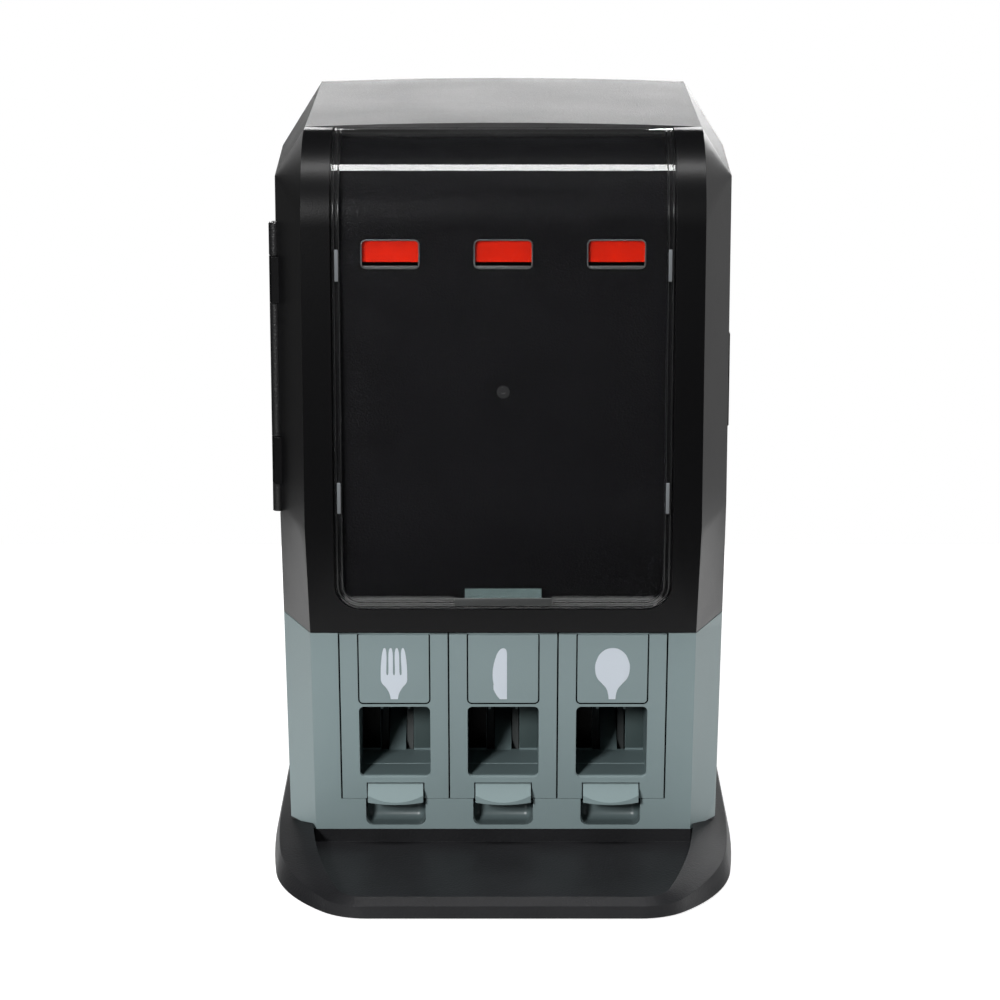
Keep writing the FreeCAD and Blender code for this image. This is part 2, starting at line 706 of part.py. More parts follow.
def build_base():
    """Base tray: a hollow moulding with a rim that rises to a crest, a basin inside it and a deck."""
    y_front, y_back, skin = number("base_front_y"), number("back_y"), number("base_skin")
    lift, wall_z, rim_z = number("base_lift"), number("base_wall_z"), number("rim_z")
    crest_y, reach = y_front + number("rim_front"), y_back - y_front

    def foot(z, inset=0.0):
        return tray_outline(z, inset, number("base_half"), y_front, y_back, corner_bends("foot"),
                            number("rear_corner"))

    def wall_top(z, inset=0.0):
        return tray_outline(z, inset, number("base_half - draft_side"), y_front + number("draft_front"),
                            y_back, corner_bends("wall"), number("rear_corner"))

    def crest(z, inset=0.0):
        level = tray_outline(z, inset, number("crest_half"), crest_y, y_back - number("rim_side"),
                             corner_bends("crest"), number("rear_corner"))
        return level.rotated(Vector(0, crest_y, z), Vector(1, 0, 0), number("rim_tilt"))

    def basin(z, inset=0.0):
        """All that lies inside the crest, from a height up to the seat's top."""
        lid = Part.Face(crest(rim_z, inset)).translated(Vector(0, 0, -reach))
        span = Part.makeBox(2 * reach, 2 * reach, number("seat_top") - z, Vector(-reach, -reach, z))
        return lid.extrude(Vector(0, 0, 2 * reach)).common(span)

    body = Part.makeLoft([foot(lift), wall_top(wall_z)], True, True)
    body = body.fuse(Part.makeLoft([wall_top(wall_z), crest(rim_z)], True, True))
    hollow = Part.makeLoft([foot(lift - 1, skin), wall_top(wall_z - skin, skin)], True, True)
    hollow = hollow.fuse(Part.makeLoft([wall_top(wall_z - skin, skin),
                                        crest(rim_z - number("rim_under"), -skin)], True, True))
    hollow = hollow.cut(basin(number("basin_z") - skin, -skin))
    moulding = solid_of("base_moulding", body.cut(hollow).removeSplitter())
    seat = footprint("0 - seat_gap", "skirt_z")
    basin_cut = cut("base_basin", solid_of("base_basin_form", basin(number("basin_z"))),
                    prism("base_basin_back", "XY", seat, ("0", "seat_top")))
    seat_cut = prism("base_seat", "XY", seat, ("skirt_z", "seat_top"))
    deck = prism("base_deck", "XY", footprint("0.5", "skirt_z"), ("basin_z - base_skin", "skirt_z"))
    under = prism("base_under", "XY", footprint("0.5 + base_skin", "skirt_z"), ("0 - 1", "deck_z"))
    lip = cut("base_lip", prism("base_lip_outer", "XY", footprint("shell + locator_gap", "skirt_z"),
                                ("deck_z", "skirt_z + locator_rise")),
              prism("base_lip_inner", "XY", footprint("shell + locator_gap + base_skin", "skirt_z"),
                    ("deck_z - 1", "skirt_z + locator_rise + 1")),
              block("base_lip_front", half("base_half"), ("base_front_y", "seam_y - 5"),
                    ("deck_z - 1", "skirt_z + locator_rise + 1")))
    posts, holes = [], []
    for side, x in (("left", "0 - foot_half"), ("right", "foot_half")):
        posts.append(rod("base_post_" + side, "z", "foot_radius + 2", (x, "back_y - foot_rear", "base_skin"),
                         "deck_z - base_skin + 1"))
    for name, x, y in boss_places():
        holes.append(rod("base_hole_" + name, "z", "fix_radius + fix_clear", (x, y, "0"),
                         "skirt_z + locator_rise + 5"))
        holes.append(rod("base_clear_" + name, "z", "boss_radius + boss_clear", (x, y, "skirt_z"),
                         "locator_rise + 5"))
    rim = cut("base_open", moulding, basin_cut, seat_cut)
    shell_ = cut("base_shell", fuse("base_solid", rim, deck), under)
    node("base_tray", cut("base_tray", fuse("base_body", shell_, lip, *posts), *holes))
    feet = []
    for side, x in (("left", "0 - foot_half"), ("right", "foot_half")):
        for row, y in (("front", "base_front_y + foot_front"), ("rear", "back_y - foot_rear")):
            feet.append(rod("foot_%s_%s" % (row, side), "z", "foot_radius", (x, y, "0"), "base_skin"))
    node("rubber_feet", group("rubber_feet", *feet))


CORNERS = (("front_left", -1, "front"), ("front_right", 1, "front"), ("rear_left", -1, "rear"),
           ("rear_right", 1, "rear"))


def boss_places():
    """Names and places of the four screws that hold the base to the lower housing."""
    return [(name, "%d * boss_%s_x" % (sign, row), "boss_%s_y" % row) for name, sign, row in CORNERS]


def ear_places():
    """Names, side signs and places of the four screws between the housings."""
    return [(name, sign, "ear_%s_x" % row, "ear_%s_y" % row) for name, sign, row in CORNERS]


# ---- Housings -----------------------------------------------------------------------------------------------

def lower_plan(z, crease, side, flare, inset):
    """Plan outline of the lower housing at a height."""
    return [
        ("0 - %s + (%s) * plan_share" % (crease, inset), front(z, inset)),
        ("%s - (%s) * plan_share" % (crease, inset), front(z, inset)),
        ("%s - (%s)" % (side, inset), "seam_y"),
        ("%s + %s - (%s)" % (side, flare, inset), "back_y - (%s)" % inset),
        ("0 - %s - %s + (%s)" % (side, flare, inset), "back_y - (%s)" % inset),
        ("0 - %s + (%s)" % (side, inset), "seam_y"),
    ]


def side_ear(name, sign, x, y, span):
    """A lug inside a side wall, around a vertical screw; its outer end is trimmed to the wall."""
    beyond = "%s + ear_reach / 2 + 2 * shell" % x
    return block(name, side_span(sign, "%s - ear_reach / 2" % x, beyond),
                 ("%s - ear_long / 2" % y, "%s + ear_long / 2" % y), span)


def build_lower_housing():
    """Grey lower housing: faceted shell, opening for the bays, scoops, bosses and lugs."""
    outer = loft("lower_outer", "XY", [
        ("skirt_z", lower_plan("skirt_z", "skirt_crease_half", "skirt_half", "skirt_flare", "0")),
        ("belt_z", lower_plan("belt_z", "belt_crease_half", "belt_half", "side_flare", "0"))])
    inner = loft("lower_inner", "XY", [
        ("skirt_z - 1", lower_plan("skirt_z", "skirt_crease_half", "skirt_half", "skirt_flare", "shell")),
        ("belt_z + 1", lower_plan("belt_z", "belt_crease_half", "belt_half", "side_flare", "shell"))])
    opening = block("lower_opening", half("lane_pitch * 1.5 + bay_gap / 2"),
                    ("face_y - joint_lap", front("skirt_z", "10")),
                    ("bay_foot_z - seat_gap", "belt_z + joint_lap"))
    additions = []
    cuts = []
    for name, index in LANES:
        middle = lane(index)
        additions.append(block("scoop_cup_" + name,
                               ("%s - scoop_width / 2 - scoop_wall" % middle,
                                "%s + scoop_width / 2 + scoop_wall" % middle),
                               (front("scoop_low_z", "joint_lap"),
                                front("scoop_low_z", "scoop_depth + scoop_wall")),
                               ("skirt_z", "scoop_back_z")))
        cuts.append(prism("scoop_" + name, "XZ", [
            ("%s - scoop_width / 2" % middle, "scoop_low_z", "scoop_round"),
            ("%s + scoop_width / 2" % middle, "scoop_low_z", "scoop_round"),
            ("%s + scoop_width / 2" % middle, "bay_foot_z + 5"),
            ("%s - scoop_width / 2" % middle, "bay_foot_z + 5")],
            ("face_y", front("scoop_low_z", "scoop_depth"))))
    for name, x, y in boss_places():
        additions.append(rod("boss_" + name, "z", "boss_radius", (x, y, "skirt_z"), "boss_rise"))
        span = (x, "%s + boss_in" % x) if "right" in name else ("%s - boss_in" % x, x)
        additions.append(block("boss_rib_" + name, span, ("%s - boss_rib" % y, "%s + boss_rib" % y),
                               ("skirt_z + locator_rise + joint_lap", "skirt_z + boss_rise")))
        cuts.append(rod("boss_bore_" + name, "z", "fix_radius + run_gap", (x, y, "skirt_z - joint_lap"),
                        "fix_length + joint_lap"))
    for name, sign, x, y in ear_places():
        additions.append(side_ear("lower_ear_" + name, sign, x, y, ("belt_z - ear_high", "belt_z")))
        cuts.append(rod("lower_ear_bore_" + name, "z", "fix_radius + run_gap",
                        ("%d * %s" % (sign, x), y, "belt_z - ear_high - joint_lap"),
                        "ear_high + 2 * joint_lap"))
    shell_ = cut("lower_shell", cut("lower_walls", outer, inner), opening)
    trimmed = common("lower_inside", fuse("lower_additions", *additions), outer)
    node("lower_housing", cut("lower_housing", fuse("lower_body", shell_, trimmed), *cuts))


def rear_section(side, top, inset, low, z_corner):
    """Cross-section of the rear housing, without its crown."""
    return [
        ("0 - (%s) + (%s)" % (side[0], inset), low), ("%s - (%s)" % (side[0], inset), low),
        ("%s - (%s)" % (side[1], inset), "%s - (%s) * rear_corner_share" % (z_corner, inset)),
        ("%s - (%s) * rear_top_share" % (top, inset), "body_top - (%s)" % inset),
        ("0 - (%s) + (%s) * rear_top_share" % (top, inset), "body_top - (%s)" % inset),
        ("0 - (%s) + (%s)" % (side[1], inset), "%s - (%s) * rear_corner_share" % (z_corner, inset)),
    ]


def crown_cap(name, y, width, drop):
    """The low crown of the top: a slice of a large cylinder along Y, standing on a flat plane."""
    w, c = number(width), number("crown")
    top = number("body_top") - number(drop)
    start, length = number(y[0]), number(y[1]) - number(y[0])
    left, middle, right = Vector(-w, start, top), Vector(0, start, top + c), Vector(w, start, top)
    face = Part.Face(Part.Wire([Part.Arc(left, middle, right).toShape(),
                                Part.LineSegment(right, left).toShape()]))
    return solid_of(name, face.extrude(Vector(0, length, 0)))


def knuckle(name, low, high, body):
    """One hinge knuckle; the gap to its neighbours is taken from both of its ends."""
    return rod(name, "z", "knuckle_radius", ("hinge_x", "seam_y", "%s + knuckle_gap / 2" % low),
               "(%s) - (%s) - knuckle_gap" % (high, low))


def relief(name, low, high):
    """Room around a knuckle of the other side."""
    return rod(name, "z", "knuckle_radius + knuckle_gap", ("hinge_x", "seam_y", "%s - knuckle_gap / 2" % low),
               "(%s) - (%s) + knuckle_gap" % (high, low))


def knuckle_web(name, low, high, sign):
    """The solid root of a knuckle, on the door's side (-1) or the housing's side (+1) of the seam."""
    near, far = "seam_y + %d * web_set" % sign, "seam_y + %d * web_long" % sign
    y = (near, far) if sign > 0 else (far, near)
    return block(name, ("hinge_x - knuckle_radius / 2", "hinge_x + web_in"), y,
                 ("%s + knuckle_gap / 2" % low, "%s - knuckle_gap / 2" % high))


def build_rear_housing():
    """Black rear housing: tapering shell with a crowned top, hinge knuckles, latch window and lugs."""
    seam = ("belt_half", "seam_half")
    back = ("belt_half + side_flare", "seam_half + side_flare")
    seam_corner = "body_top - chamfer_drop"
    back_corner = ("body_top - chamfer_drop * (seam_half + side_flare - crease_half - top_flare)"
                   " / (seam_half - crease_half)")
    outer = loft("rear_outer", "XZ", [
        ("rear_front_y", rear_section(seam, "crease_half", "0", "belt_z", seam_corner)),
        ("back_y", rear_section(back, "crease_half + top_flare", "0", "belt_z", back_corner))])
    inner = loft("rear_inner", "XZ", [
        ("rear_front_y - 1", rear_section(seam, "crease_half", "shell", "belt_z - 1", seam_corner)),
        ("back_y - shell", rear_section(back, "crease_half + top_flare", "shell", "belt_z - 1",
                                        back_corner))])
    cap = crown_cap("rear_crown", ("rear_front_y", "back_y"), "crease_half - 0.2", "0.0")
    additions = [cap]
    cuts = [relief("rear_relief_b", "knuckle_c_z", "knuckle_b_z"),
            relief("rear_relief_d", "knuckle_e_z", "knuckle_d_z")]
    for name, low, high in (("a", "knuckle_b_z", "hinge_top_z"), ("c", "knuckle_d_z", "knuckle_c_z"),
                            ("e", "hinge_low_z", "knuckle_e_z")):
        additions.append(knuckle("knuckle_" + name, low, high, True))
        additions.append(knuckle_web("knuckle_web_" + name, low, high, 1))
    cuts.append(rod("rear_hinge_bore", "z", "hinge_pin + run_gap", ("hinge_x", "seam_y", "hinge_low_z - 1"),
                    "hinge_top_z - hinge_low_z + 2"))
    ears = []
    for name, sign, x, y in ear_places():
        ears.append(side_ear("rear_ear_" + name, sign, x, y, ("belt_z", "belt_z + ear_high")))
        cuts.append(rod("rear_ear_bore_" + name, "z", "fix_radius + fix_clear",
                        ("%d * %s" % (sign, x), y, "belt_z - joint_lap"), "ear_high + 2 * joint_lap"))
    additions.append(common("rear_ears", fuse("rear_ear_blocks", *ears), outer))
    cuts.append(block("latch_window", ("seam_half - shell - 3", "seam_half + side_flare"),
                      ("latch_y - latch_swing", "latch_y + latch_length + latch_gap"),
                      ("latch_low_z - latch_gap", "latch_high_z + latch_gap")))
    for name, low, high in (("low", "latch_low_z - latch_lug", "latch_low_z - latch_gap"),
                            ("high", "latch_high_z + latch_gap", "latch_high_z + latch_lug")):
        additions.append(block("latch_lug_" + name, ("latch_pin_x - latch_lug_half", "seam_half - joint_lap"),
                               ("latch_pin_y - latch_lug_half", "latch_pin_y + latch_lug_half"), (low, high)))
    bore_run = "latch_lug + joint_lap"
    cuts.append(rod("latch_bore", "z", "latch_pin + run_gap",
                    ("latch_pin_x", "latch_pin_y", "latch_low_z - (%s)" % bore_run),
                    "latch_high_z - latch_low_z + 2 * (%s)" % bore_run))
    shell_ = cut("rear_shell", outer, inner)
    node("rear_housing", cut("rear_housing", fuse("rear_body", shell_, *additions), *cuts))


# ---- Door ---------------------------------------------------------------------------------------------------

def door_form(inset, low_z, back_y):
    """The door's outer form moved inward by an inset.

    The flat face folds back below and rounds over at the top.
    Its sides are facets from the crease to the seam.
    Beside the rounded top, a cone about the seam's upper corner joins the facet to the chamfer.
    """
    slant = math.radians(number("front_slant"))
    face, seam, arc_z = number("face_y"), number("seam_y"), number("arc_z")
    radius = number("door_round") - inset
    fold = number("fold_z") + inset * math.tan(slant / 2)
    crease = number("crease_half") - number("door_crease_share") * inset
    seam_half = number("seam_half") - number("door_seam_share") * inset
    apex_z = number("body_top - chamfer_drop") - number("apex_share") * inset
    apex = Vector(seam_half, back_y, apex_z)
    share = (number("fold_z") - low_z) / number("fold_z - belt_z")
    low_crease = crease - number("crease_half - belt_crease_half") * share
    low_half = seam_half - number("seam_half - belt_half") * share
    low_y = face + (fold - low_z) * math.tan(slant) + inset

    def plan(z, crease_, half_, y):
        corners = [Vector(-crease_, y, z), Vector(crease_, y, z), Vector(half_, back_y, z),
                   Vector(-half_, back_y, z)]
        return Part.makePolygon(corners + corners[:1])

    parts = [Part.makeLoft([plan(low_z, low_crease, low_half, low_y),
                            plan(fold, crease, seam_half, face + inset),
                            plan(arc_z, crease, seam_half, face + inset)], True, True)]
    start = Vector(crease, face + inset, arc_z)
    centre = start + Vector(0, radius, 0)
    middle = centre + Vector(0, -math.sqrt(0.5), math.sqrt(0.5)) * radius
    crest = centre + Vector(0, 0, radius)
    heel_top = Vector(crease, back_y, crest.z)
    heel = Vector(crease, back_y, arc_z)
    profile = Part.Wire([Part.Arc(start, middle, crest).toShape(),
                         Part.LineSegment(crest, heel_top).toShape(),
                         Part.LineSegment(heel_top, heel).toShape(),
                         Part.LineSegment(heel, start).toShape()])
    parts.append(Part.Face(profile).extrude(Vector(-2 * crease, 0, 0)))
    corner = Vector(seam_half, back_y, arc_z)
    wedge = Part.makePolygon([start, heel, corner, start])
    for tip_side in (Part.makeLoft([profile, Part.Vertex(apex)], True, True),
                     Part.makeLoft([wedge, Part.Vertex(apex)], True, True)):
        parts.append(tip_side)
        parts.append(tip_side.mirror(Vector(0, 0, 0), Vector(1, 0, 0)))
    whole = parts[0].multiFuse(parts[1:])
    return whole.removeSplitter()


def front_view(half_width, low_z, radius, high_z="body_top + 20"):
    """Front outline with two rounded lower corners."""
    return [("0 - (%s)" % half_width, low_z, radius), (half_width, low_z, radius),
            (half_width, high_z), ("0 - (%s)" % half_width, high_z)]


def build_door():
    """Front door: faceted shell, ledge for the window, posts for the flag carrier and hinge knuckles."""
    low, back = number("door_low_z"), number("door_back_y")
    skin = number("shell")
    outer = solid_of("door_outer", door_form(0.0, low, back))
    inner = solid_of("door_inner", door_form(skin, low + skin, back + 1))
    inner_ledge = solid_of("door_ledge_front", door_form(skin, low + skin, back))
    deep = solid_of("door_ledge_back", door_form(number("ledge_depth"), low + skin, back + 1))
    recess = prism("door_recess", "XZ",
                   front_view("recess_half", "recess_low_z", "window_round + window_gap"),
                   ("face_y - 5", "seam_y + 5"))
    skin_frame = cut("door_frame_skin", cut("door_skin", outer, inner), recess)
    reach = prism("door_ledge_reach", "XZ",
                  front_view("recess_half + ledge_under", "recess_low_z - ledge_under", "window_round"),
                  ("face_y - 5", "door_back_y"))
    through = prism("door_through", "XZ",
                    front_view("recess_half - ledge_width", "recess_low_z + ledge_width",
                               "window_round - ledge_width"),
                    ("face_y - 5", "door_back_y - ledge_width"))
    band = common("door_ledge_band", cut("door_ledge_skin", inner_ledge, deep), reach)
    ledge = cut("door_ledge", band, through)
    additions, cuts = [], []
    for side, sign in (("left", -1), ("right", 1)):
        at = "%d * post_half" % sign
        post_z = "carrier_top_z - carrier_bar / 2"
        root_y = "face_y + shell - joint_lap"
        additions.append(rod("door_post_" + side, "y", "post_radius", (at, root_y, post_z),
                             "carrier_y + carrier_stand - (%s)" % root_y))
        cuts.append(rod("door_post_bore_" + side, "y", "post_screw + run_gap", (at, "face_y + shell", post_z),
                        "20"))
    for name, low_z, high_z in (("b", "knuckle_c_z", "knuckle_b_z"), ("d", "knuckle_e_z", "knuckle_d_z")):
        additions.append(knuckle("knuckle_" + name, low_z, high_z, False))
        additions.append(knuckle_web("knuckle_web_" + name, low_z, high_z, -1))
    for name, low_z, high_z in (("a", "knuckle_b_z", "hinge_top_z"), ("c", "knuckle_d_z", "knuckle_c_z"),
                                ("e", "hinge_low_z", "knuckle_e_z")):
        cuts.append(relief("door_relief_" + name, low_z, high_z))
    cuts.append(rod("door_hinge_bore", "z", "hinge_pin + run_gap", ("hinge_x", "seam_y", "hinge_low_z - 1"),
                    "hinge_top_z - hinge_low_z + 2"))
    node("front_door", cut("front_door", fuse("door_body", skin_frame, ledge, *additions), *cuts))
    node("hinge_pin", rod("hinge_pin_rod", "z", "hinge_pin", ("hinge_x", "seam_y", "hinge_low_z + 0.5"),
                          "hinge_top_z - hinge_low_z - 1"))


def profile_body(inset, low):
    """Side view of all that lies behind the door's profile moved inward."""
    face = "face_y + (%s)" % inset
    fold = "fold_z + (%s) * tan(front_slant / 2)" % inset
    low_y = "%s + (%s - (%s)) * tan(front_slant)" % (face, fold, low)
    top = "body_top - (%s)" % inset
    return [(low_y, low), (face, fold), (face, top, "door_round - (%s)" % inset), ("door_back_y", top),
            ("door_back_y", low)]


def curved_sheet(name, inset, thick, half_width, low_z, radius):
    """A sheet that follows the door's profile, with a front outline that has two rounded corners."""
    deep = "(%s) + (%s)" % (inset, thick)
    piece = Piece(name)
    piece.pad("YZ", profile_body(inset, "%s - 10" % low_z), half(half_width))
    piece.pocket("YZ", [(y if "door_back_y" not in y else "door_back_y + 5", z) + tuple(rest)
                        for y, z, *rest in profile_body(deep, "%s - 20" % low_z)],
                 ("0 - (%s) - 1" % half_width, "%s + 1" % half_width))
    wide = "%s + 20" % half_width
    foot, shoulder = "%s - 40" % low_z, "body_top - 100"
    trim = [("0 - (%s)" % wide, foot), (wide, foot), (wide, shoulder), (half_width, shoulder),
            (half_width, low_z, radius), ("0 - (%s)" % half_width, low_z, radius),
            ("0 - (%s)" % half_width, shoulder), ("0 - (%s)" % wide, shoulder)]
    piece.pocket("XZ", trim, ("face_y - 10", "door_back_y + 10"))
    return piece


def build_window():
    """Clear window cover, rounded over at the top, and the black panel behind it."""
    window = curved_sheet("window_cover", "window_set", "window_thick", "window_half", "window_low_z",
                          "window_round")
    node("window_cover", window.body)
    panel = curved_sheet("inner_panel", "panel_set", "panel_thick", "panel_half", "panel_low_z",
                         "window_round")
    for name, index in LANES:
        middle = lane(index)
        panel.pocket("XZ", slab(("%s - flag_slot_width / 2" % middle, "%s + flag_slot_width / 2" % middle),
                                ("flag_slot_low_z", "flag_slot_high_z"), "flag_slot_round"),
                     ("face_y", "face_y + panel_back + 1"))
    hole = cone("panel_sink", "y", "screw_head + seat_gap", "screw_radius + seat_gap",
                ("0", "face_y + panel_set", "screw_z"), "panel_thick")
    node("inner_panel", cut("panel_drilled", panel.body, hole))
    node("panel_clip", block("clip_bar", half("clip_width / 2"),
                             ("%s + seat_gap" % door_sheet_y("clip_low_z", "window_set + window_thick"),
                              "%s - seat_gap" % door_sheet_y("clip_low_z + clip_high", "panel_set")),
                             ("clip_low_z", "clip_low_z + clip_high")))
    screw_y = "face_y + panel_set"
    head = cone("panel_screw_head", "y", "screw_head", "screw_radius", ("0", screw_y, "screw_z"),
                "panel_thick - 0.4")
    shank = rod("panel_screw_shank", "y", "screw_radius", ("0", screw_y + " + joint_lap", "screw_z"),
                "screw_length - joint_lap")
    socket = rod("panel_screw_socket", "y", "screw_radius * 0.6", ("0", screw_y + " - joint_lap", "screw_z"),
                 "2.2")
    node("panel_screw", cut("panel_screw", fuse("panel_screw_body", head, shank), socket))


def door_sheet_y(z, inset):
    """Y of the door's slanted lower face, moved inward, at a height."""
    return ("(face_y + (%s) + (fold_z + (%s) * tan(front_slant / 2) - (%s)) * tan(front_slant))"
            % (inset, inset, z))


def build_carrier():
    """Flag carrier behind the panel: a bar with ears, a centre plate and a boss for the panel's screw."""
    carrier = Piece("flag_carrier")
    y = ("carrier_y + carrier_stand", "carrier_y + carrier_stand + carrier_thick")
    carrier.pad("XZ", slab(half("carrier_half"), ("carrier_top_z - carrier_bar", "carrier_top_z")), y)
    room = "flag_width / 2 + carrier_room"
    carrier.pad("XZ", [
        ("0 - carrier_plate_half", "carrier_low_z", "4"), ("carrier_plate_half", "carrier_low_z", "4"),
        ("carrier_plate_half", "carrier_top_z - 1"), (room, "carrier_top_z - 1"),
        (room, "flag_low_z - 9"), ("0 - (%s)" % room, "flag_low_z - 9"),
        ("0 - (%s)" % room, "carrier_top_z - 1"), ("0 - carrier_plate_half", "carrier_top_z - 1")], y)
    for name, index in LANES:
        for sign in (-1, 1):
            low = "%s + %d * (flag_width / 2 + carrier_ear_gap)" % (lane(index), sign)
            high = "%s + %d * (flag_width / 2 + carrier_ear_gap + carrier_ear_thick)" % (lane(index), sign)
            span = (low, high) if sign > 0 else (high, low)
            carrier.pad("YZ", slab(("carrier_y + carrier_ear_set", "pivot_y + carrier_ear_half"),
                                   ("pivot_z - carrier_ear_half", "carrier_top_z")), span)
    boss = rod("carrier_boss", "y", "carrier_boss", ("0", "carrier_y", "screw_z"), "carrier_stand + joint_lap")
    tower = rod("carrier_tower", "y", "carrier_boss", ("0", "carrier_y + carrier_stand", "screw_z"),
                "screw_length")
    cuts = [rod("carrier_bore", "y", "screw_radius + run_gap", ("0", "carrier_y - 5", "screw_z"), "30"),
            rod("carrier_pin_bore", "x", "pivot_radius + run_gap", ("0 - carrier_half", "pivot_y", "pivot_z"),
                "2 * carrier_half")]
    screws = []
    for side, sign in (("left", -1), ("right", 1)):
        x, z = "%d * post_half" % sign, "carrier_top_z - carrier_bar / 2"
        cuts.append(rod("carrier_hole_" + side, "y", "post_screw + post_clear", (x, "carrier_y", z), "10"))
        head = rod("carrier_screw_head_" + side, "y", "post_head",
                   (x, "carrier_y + carrier_stand + carrier_thick", z), "post_head_high")
        shank = rod("carrier_screw_shank_" + side, "y", "post_screw", (x, "carrier_y - carrier_stand", z),
                    "2 * carrier_stand + carrier_thick + joint_lap / 2")
        screws.append(fuse("carrier_screw_" + side, head, shank))
    node("flag_carrier", cut("carrier_drilled", fuse("carrier_body", carrier.body, boss, tower), *cuts))
    node("carrier_screws", group("carrier_screws", *screws))


def build_flags():
    """Three flags that hang on pins behind the panel, each with a tail that rests on its stack."""
    pins = []
    for name, index in LANES:
        label = "flag_" + name
        middle = lane(index)
        flag = Piece(label + "_plate")
        front_y = "carrier_y - carrier_gap + flag_set"
        flag.pad("XZ", slab(half("flag_width / 2"), ("flag_low_z", "pivot_z + 1")),
                 (front_y, "%s + flag_thick" % front_y))
        under = [("pivot_y", "pivot_z - tail_thick / 2"),
                 ("pivot_y + tail_step", "pivot_z - tail_thick / 2 - tail_dip"),
                 ("pivot_y + tail_length", "pivot_z - tail_thick / 2 - tail_drop")]
        over = [(y, z + " + tail_thick") for y, z in reversed(under)]
        flag.pad("YZ", under + over, half("tail_width / 2"))
        hub = rod(label + "_hub", "x", "flag_hub", ("0 - flag_width / 2", "pivot_y", "pivot_z"), "flag_width")
        bore = rod(label + "_bore", "x", "pivot_radius + run_gap", ("0 - flag_width", "pivot_y", "pivot_z"),
                   "2 * flag_width")
        item = cut(label, fuse(label + "_body", flag.body, hub), bore)
        node(label, move(item, middle))
        length = "flag_width + 2 * (carrier_ear_gap + carrier_ear_thick)"
        pins.append(rod(label + "_pin", "x", "pivot_radius", ("%s - (%s) / 2" % (middle, length), "pivot_y",
                                                               "pivot_z"), length))
    node("flag_pins", group("flag_pins", *pins))


# ---- Latch --------------------------------------------------------------------------------------------------

def build_latch():
    """Latch plate in the right side, its nose, pin and spring, and the catch on the door."""
    outer = "seam_half + latch_proud"
    handle = Piece("latch_plate")
    handle.pad("XZ", slab(("%s - latch_thick" % outer, outer), ("latch_low_z", "latch_high_z"), "1"),
               ("latch_y", "latch_y + latch_length"))
    inside = "%s - latch_thick + joint_lap / 2" % outer
    tip = "door_back_y - nose_reach"
    handle.pad("XY", [("nose_x - nose_thick", tip), ("nose_x", tip), ("nose_x", "latch_y + nose_root"),
                      (inside, "latch_y + 2 * nose_root"), (inside, "latch_y + 3 * nose_root"),
                      ("nose_x - nose_thick", "latch_y + 2 * nose_root")],
               ("latch_mid_z - nose_high / 2", "latch_mid_z + nose_high / 2"))
    hub_half = "latch_high_z - latch_mid_z - latch_lug"
    hub_low, hub_high = "latch_mid_z - (%s)" % hub_half, "latch_mid_z + (%s)" % hub_half
    hub = rod("latch_hub", "z", "latch_pin + latch_hub_wall", ("latch_pin_x", "latch_pin_y", hub_low),
              "2 * (%s)" % hub_half)
    web = block("latch_web", ("latch_pin_x", "%s - joint_lap" % outer),
                ("latch_pin_y - latch_web", "latch_pin_y + latch_web"), (hub_low, hub_high))
    bore = rod("latch_hub_bore", "z", "latch_pin + run_gap",
               ("latch_pin_x", "latch_pin_y", "latch_low_z - joint_lap"),
               "latch_high_z - latch_low_z + 2 * joint_lap")
    node("latch_handle", cut("latch_handle", fuse("latch_body", handle.body, hub, web), bore))
    node("latch_pin", rod("latch_pin_rod", "z", "latch_pin",
                          ("latch_pin_x", "latch_pin_y", "latch_low_z - latch_lug"),
                          "latch_high_z - latch_low_z + 2 * latch_lug"))
    node("latch_spring", coil("latch_spring", "z", "latch_pin",
                              ("latch_pin_x", "latch_pin_y", hub_high + " + joint_lap")))
    y = ("door_back_y - nose_reach - catch_over", "door_back_y - joint_lap")
    facet = "(seam_half - crease_half) * (seam_y - (%s)) / door_depth"
    wall = [("seam_half - 1.1 * shell - seat_gap - " + facet) % at for at in y]
    node("latch_catch", prism("latch_catch_block", "XY", [
        ("nose_x + catch_gap", y[0]), (wall[0], y[0]), (wall[1], y[1]), ("nose_x + catch_gap", y[1])],
        ("latch_mid_z - nose_high / 2 - catch_over", "latch_mid_z + nose_high / 2 + catch_over")))


def coil(name, axis, core, start):
    """A torsion spring coiled about a pin, from a start point along an axis."""
    spine = DOC.addObject("Part::Helix", name + "_spine")
    radius = "%s + spring_gap + spring_wire / 2" % core
    bind(spine, Pitch="spring_pitch", Height="spring_pitch * spring_turns", Radius=radius)
    wire = DOC.addObject("Part::Circle", name + "_wire")
    wire.Placement = FreeCAD.Placement(Vector(), FreeCAD.Rotation(Vector(1, 0, 0), 90))
    bind(wire, Radius="spring_wire / 2", Placement__Base__x=radius)
    DOC.recompute()
    sweep = DOC.addObject("Part::Sweep", name)
    sweep.Sections = [wire]
    sweep.Spine = (spine, ["Edge1"])
    sweep.Solid = True
    sweep.Frenet = True
    sweep.Placement = FreeCAD.Placement(Vector(), ALONG[axis])
    return move(sweep, *start)


# ---- Lanes --------------------------------------------------------------------------------------------------

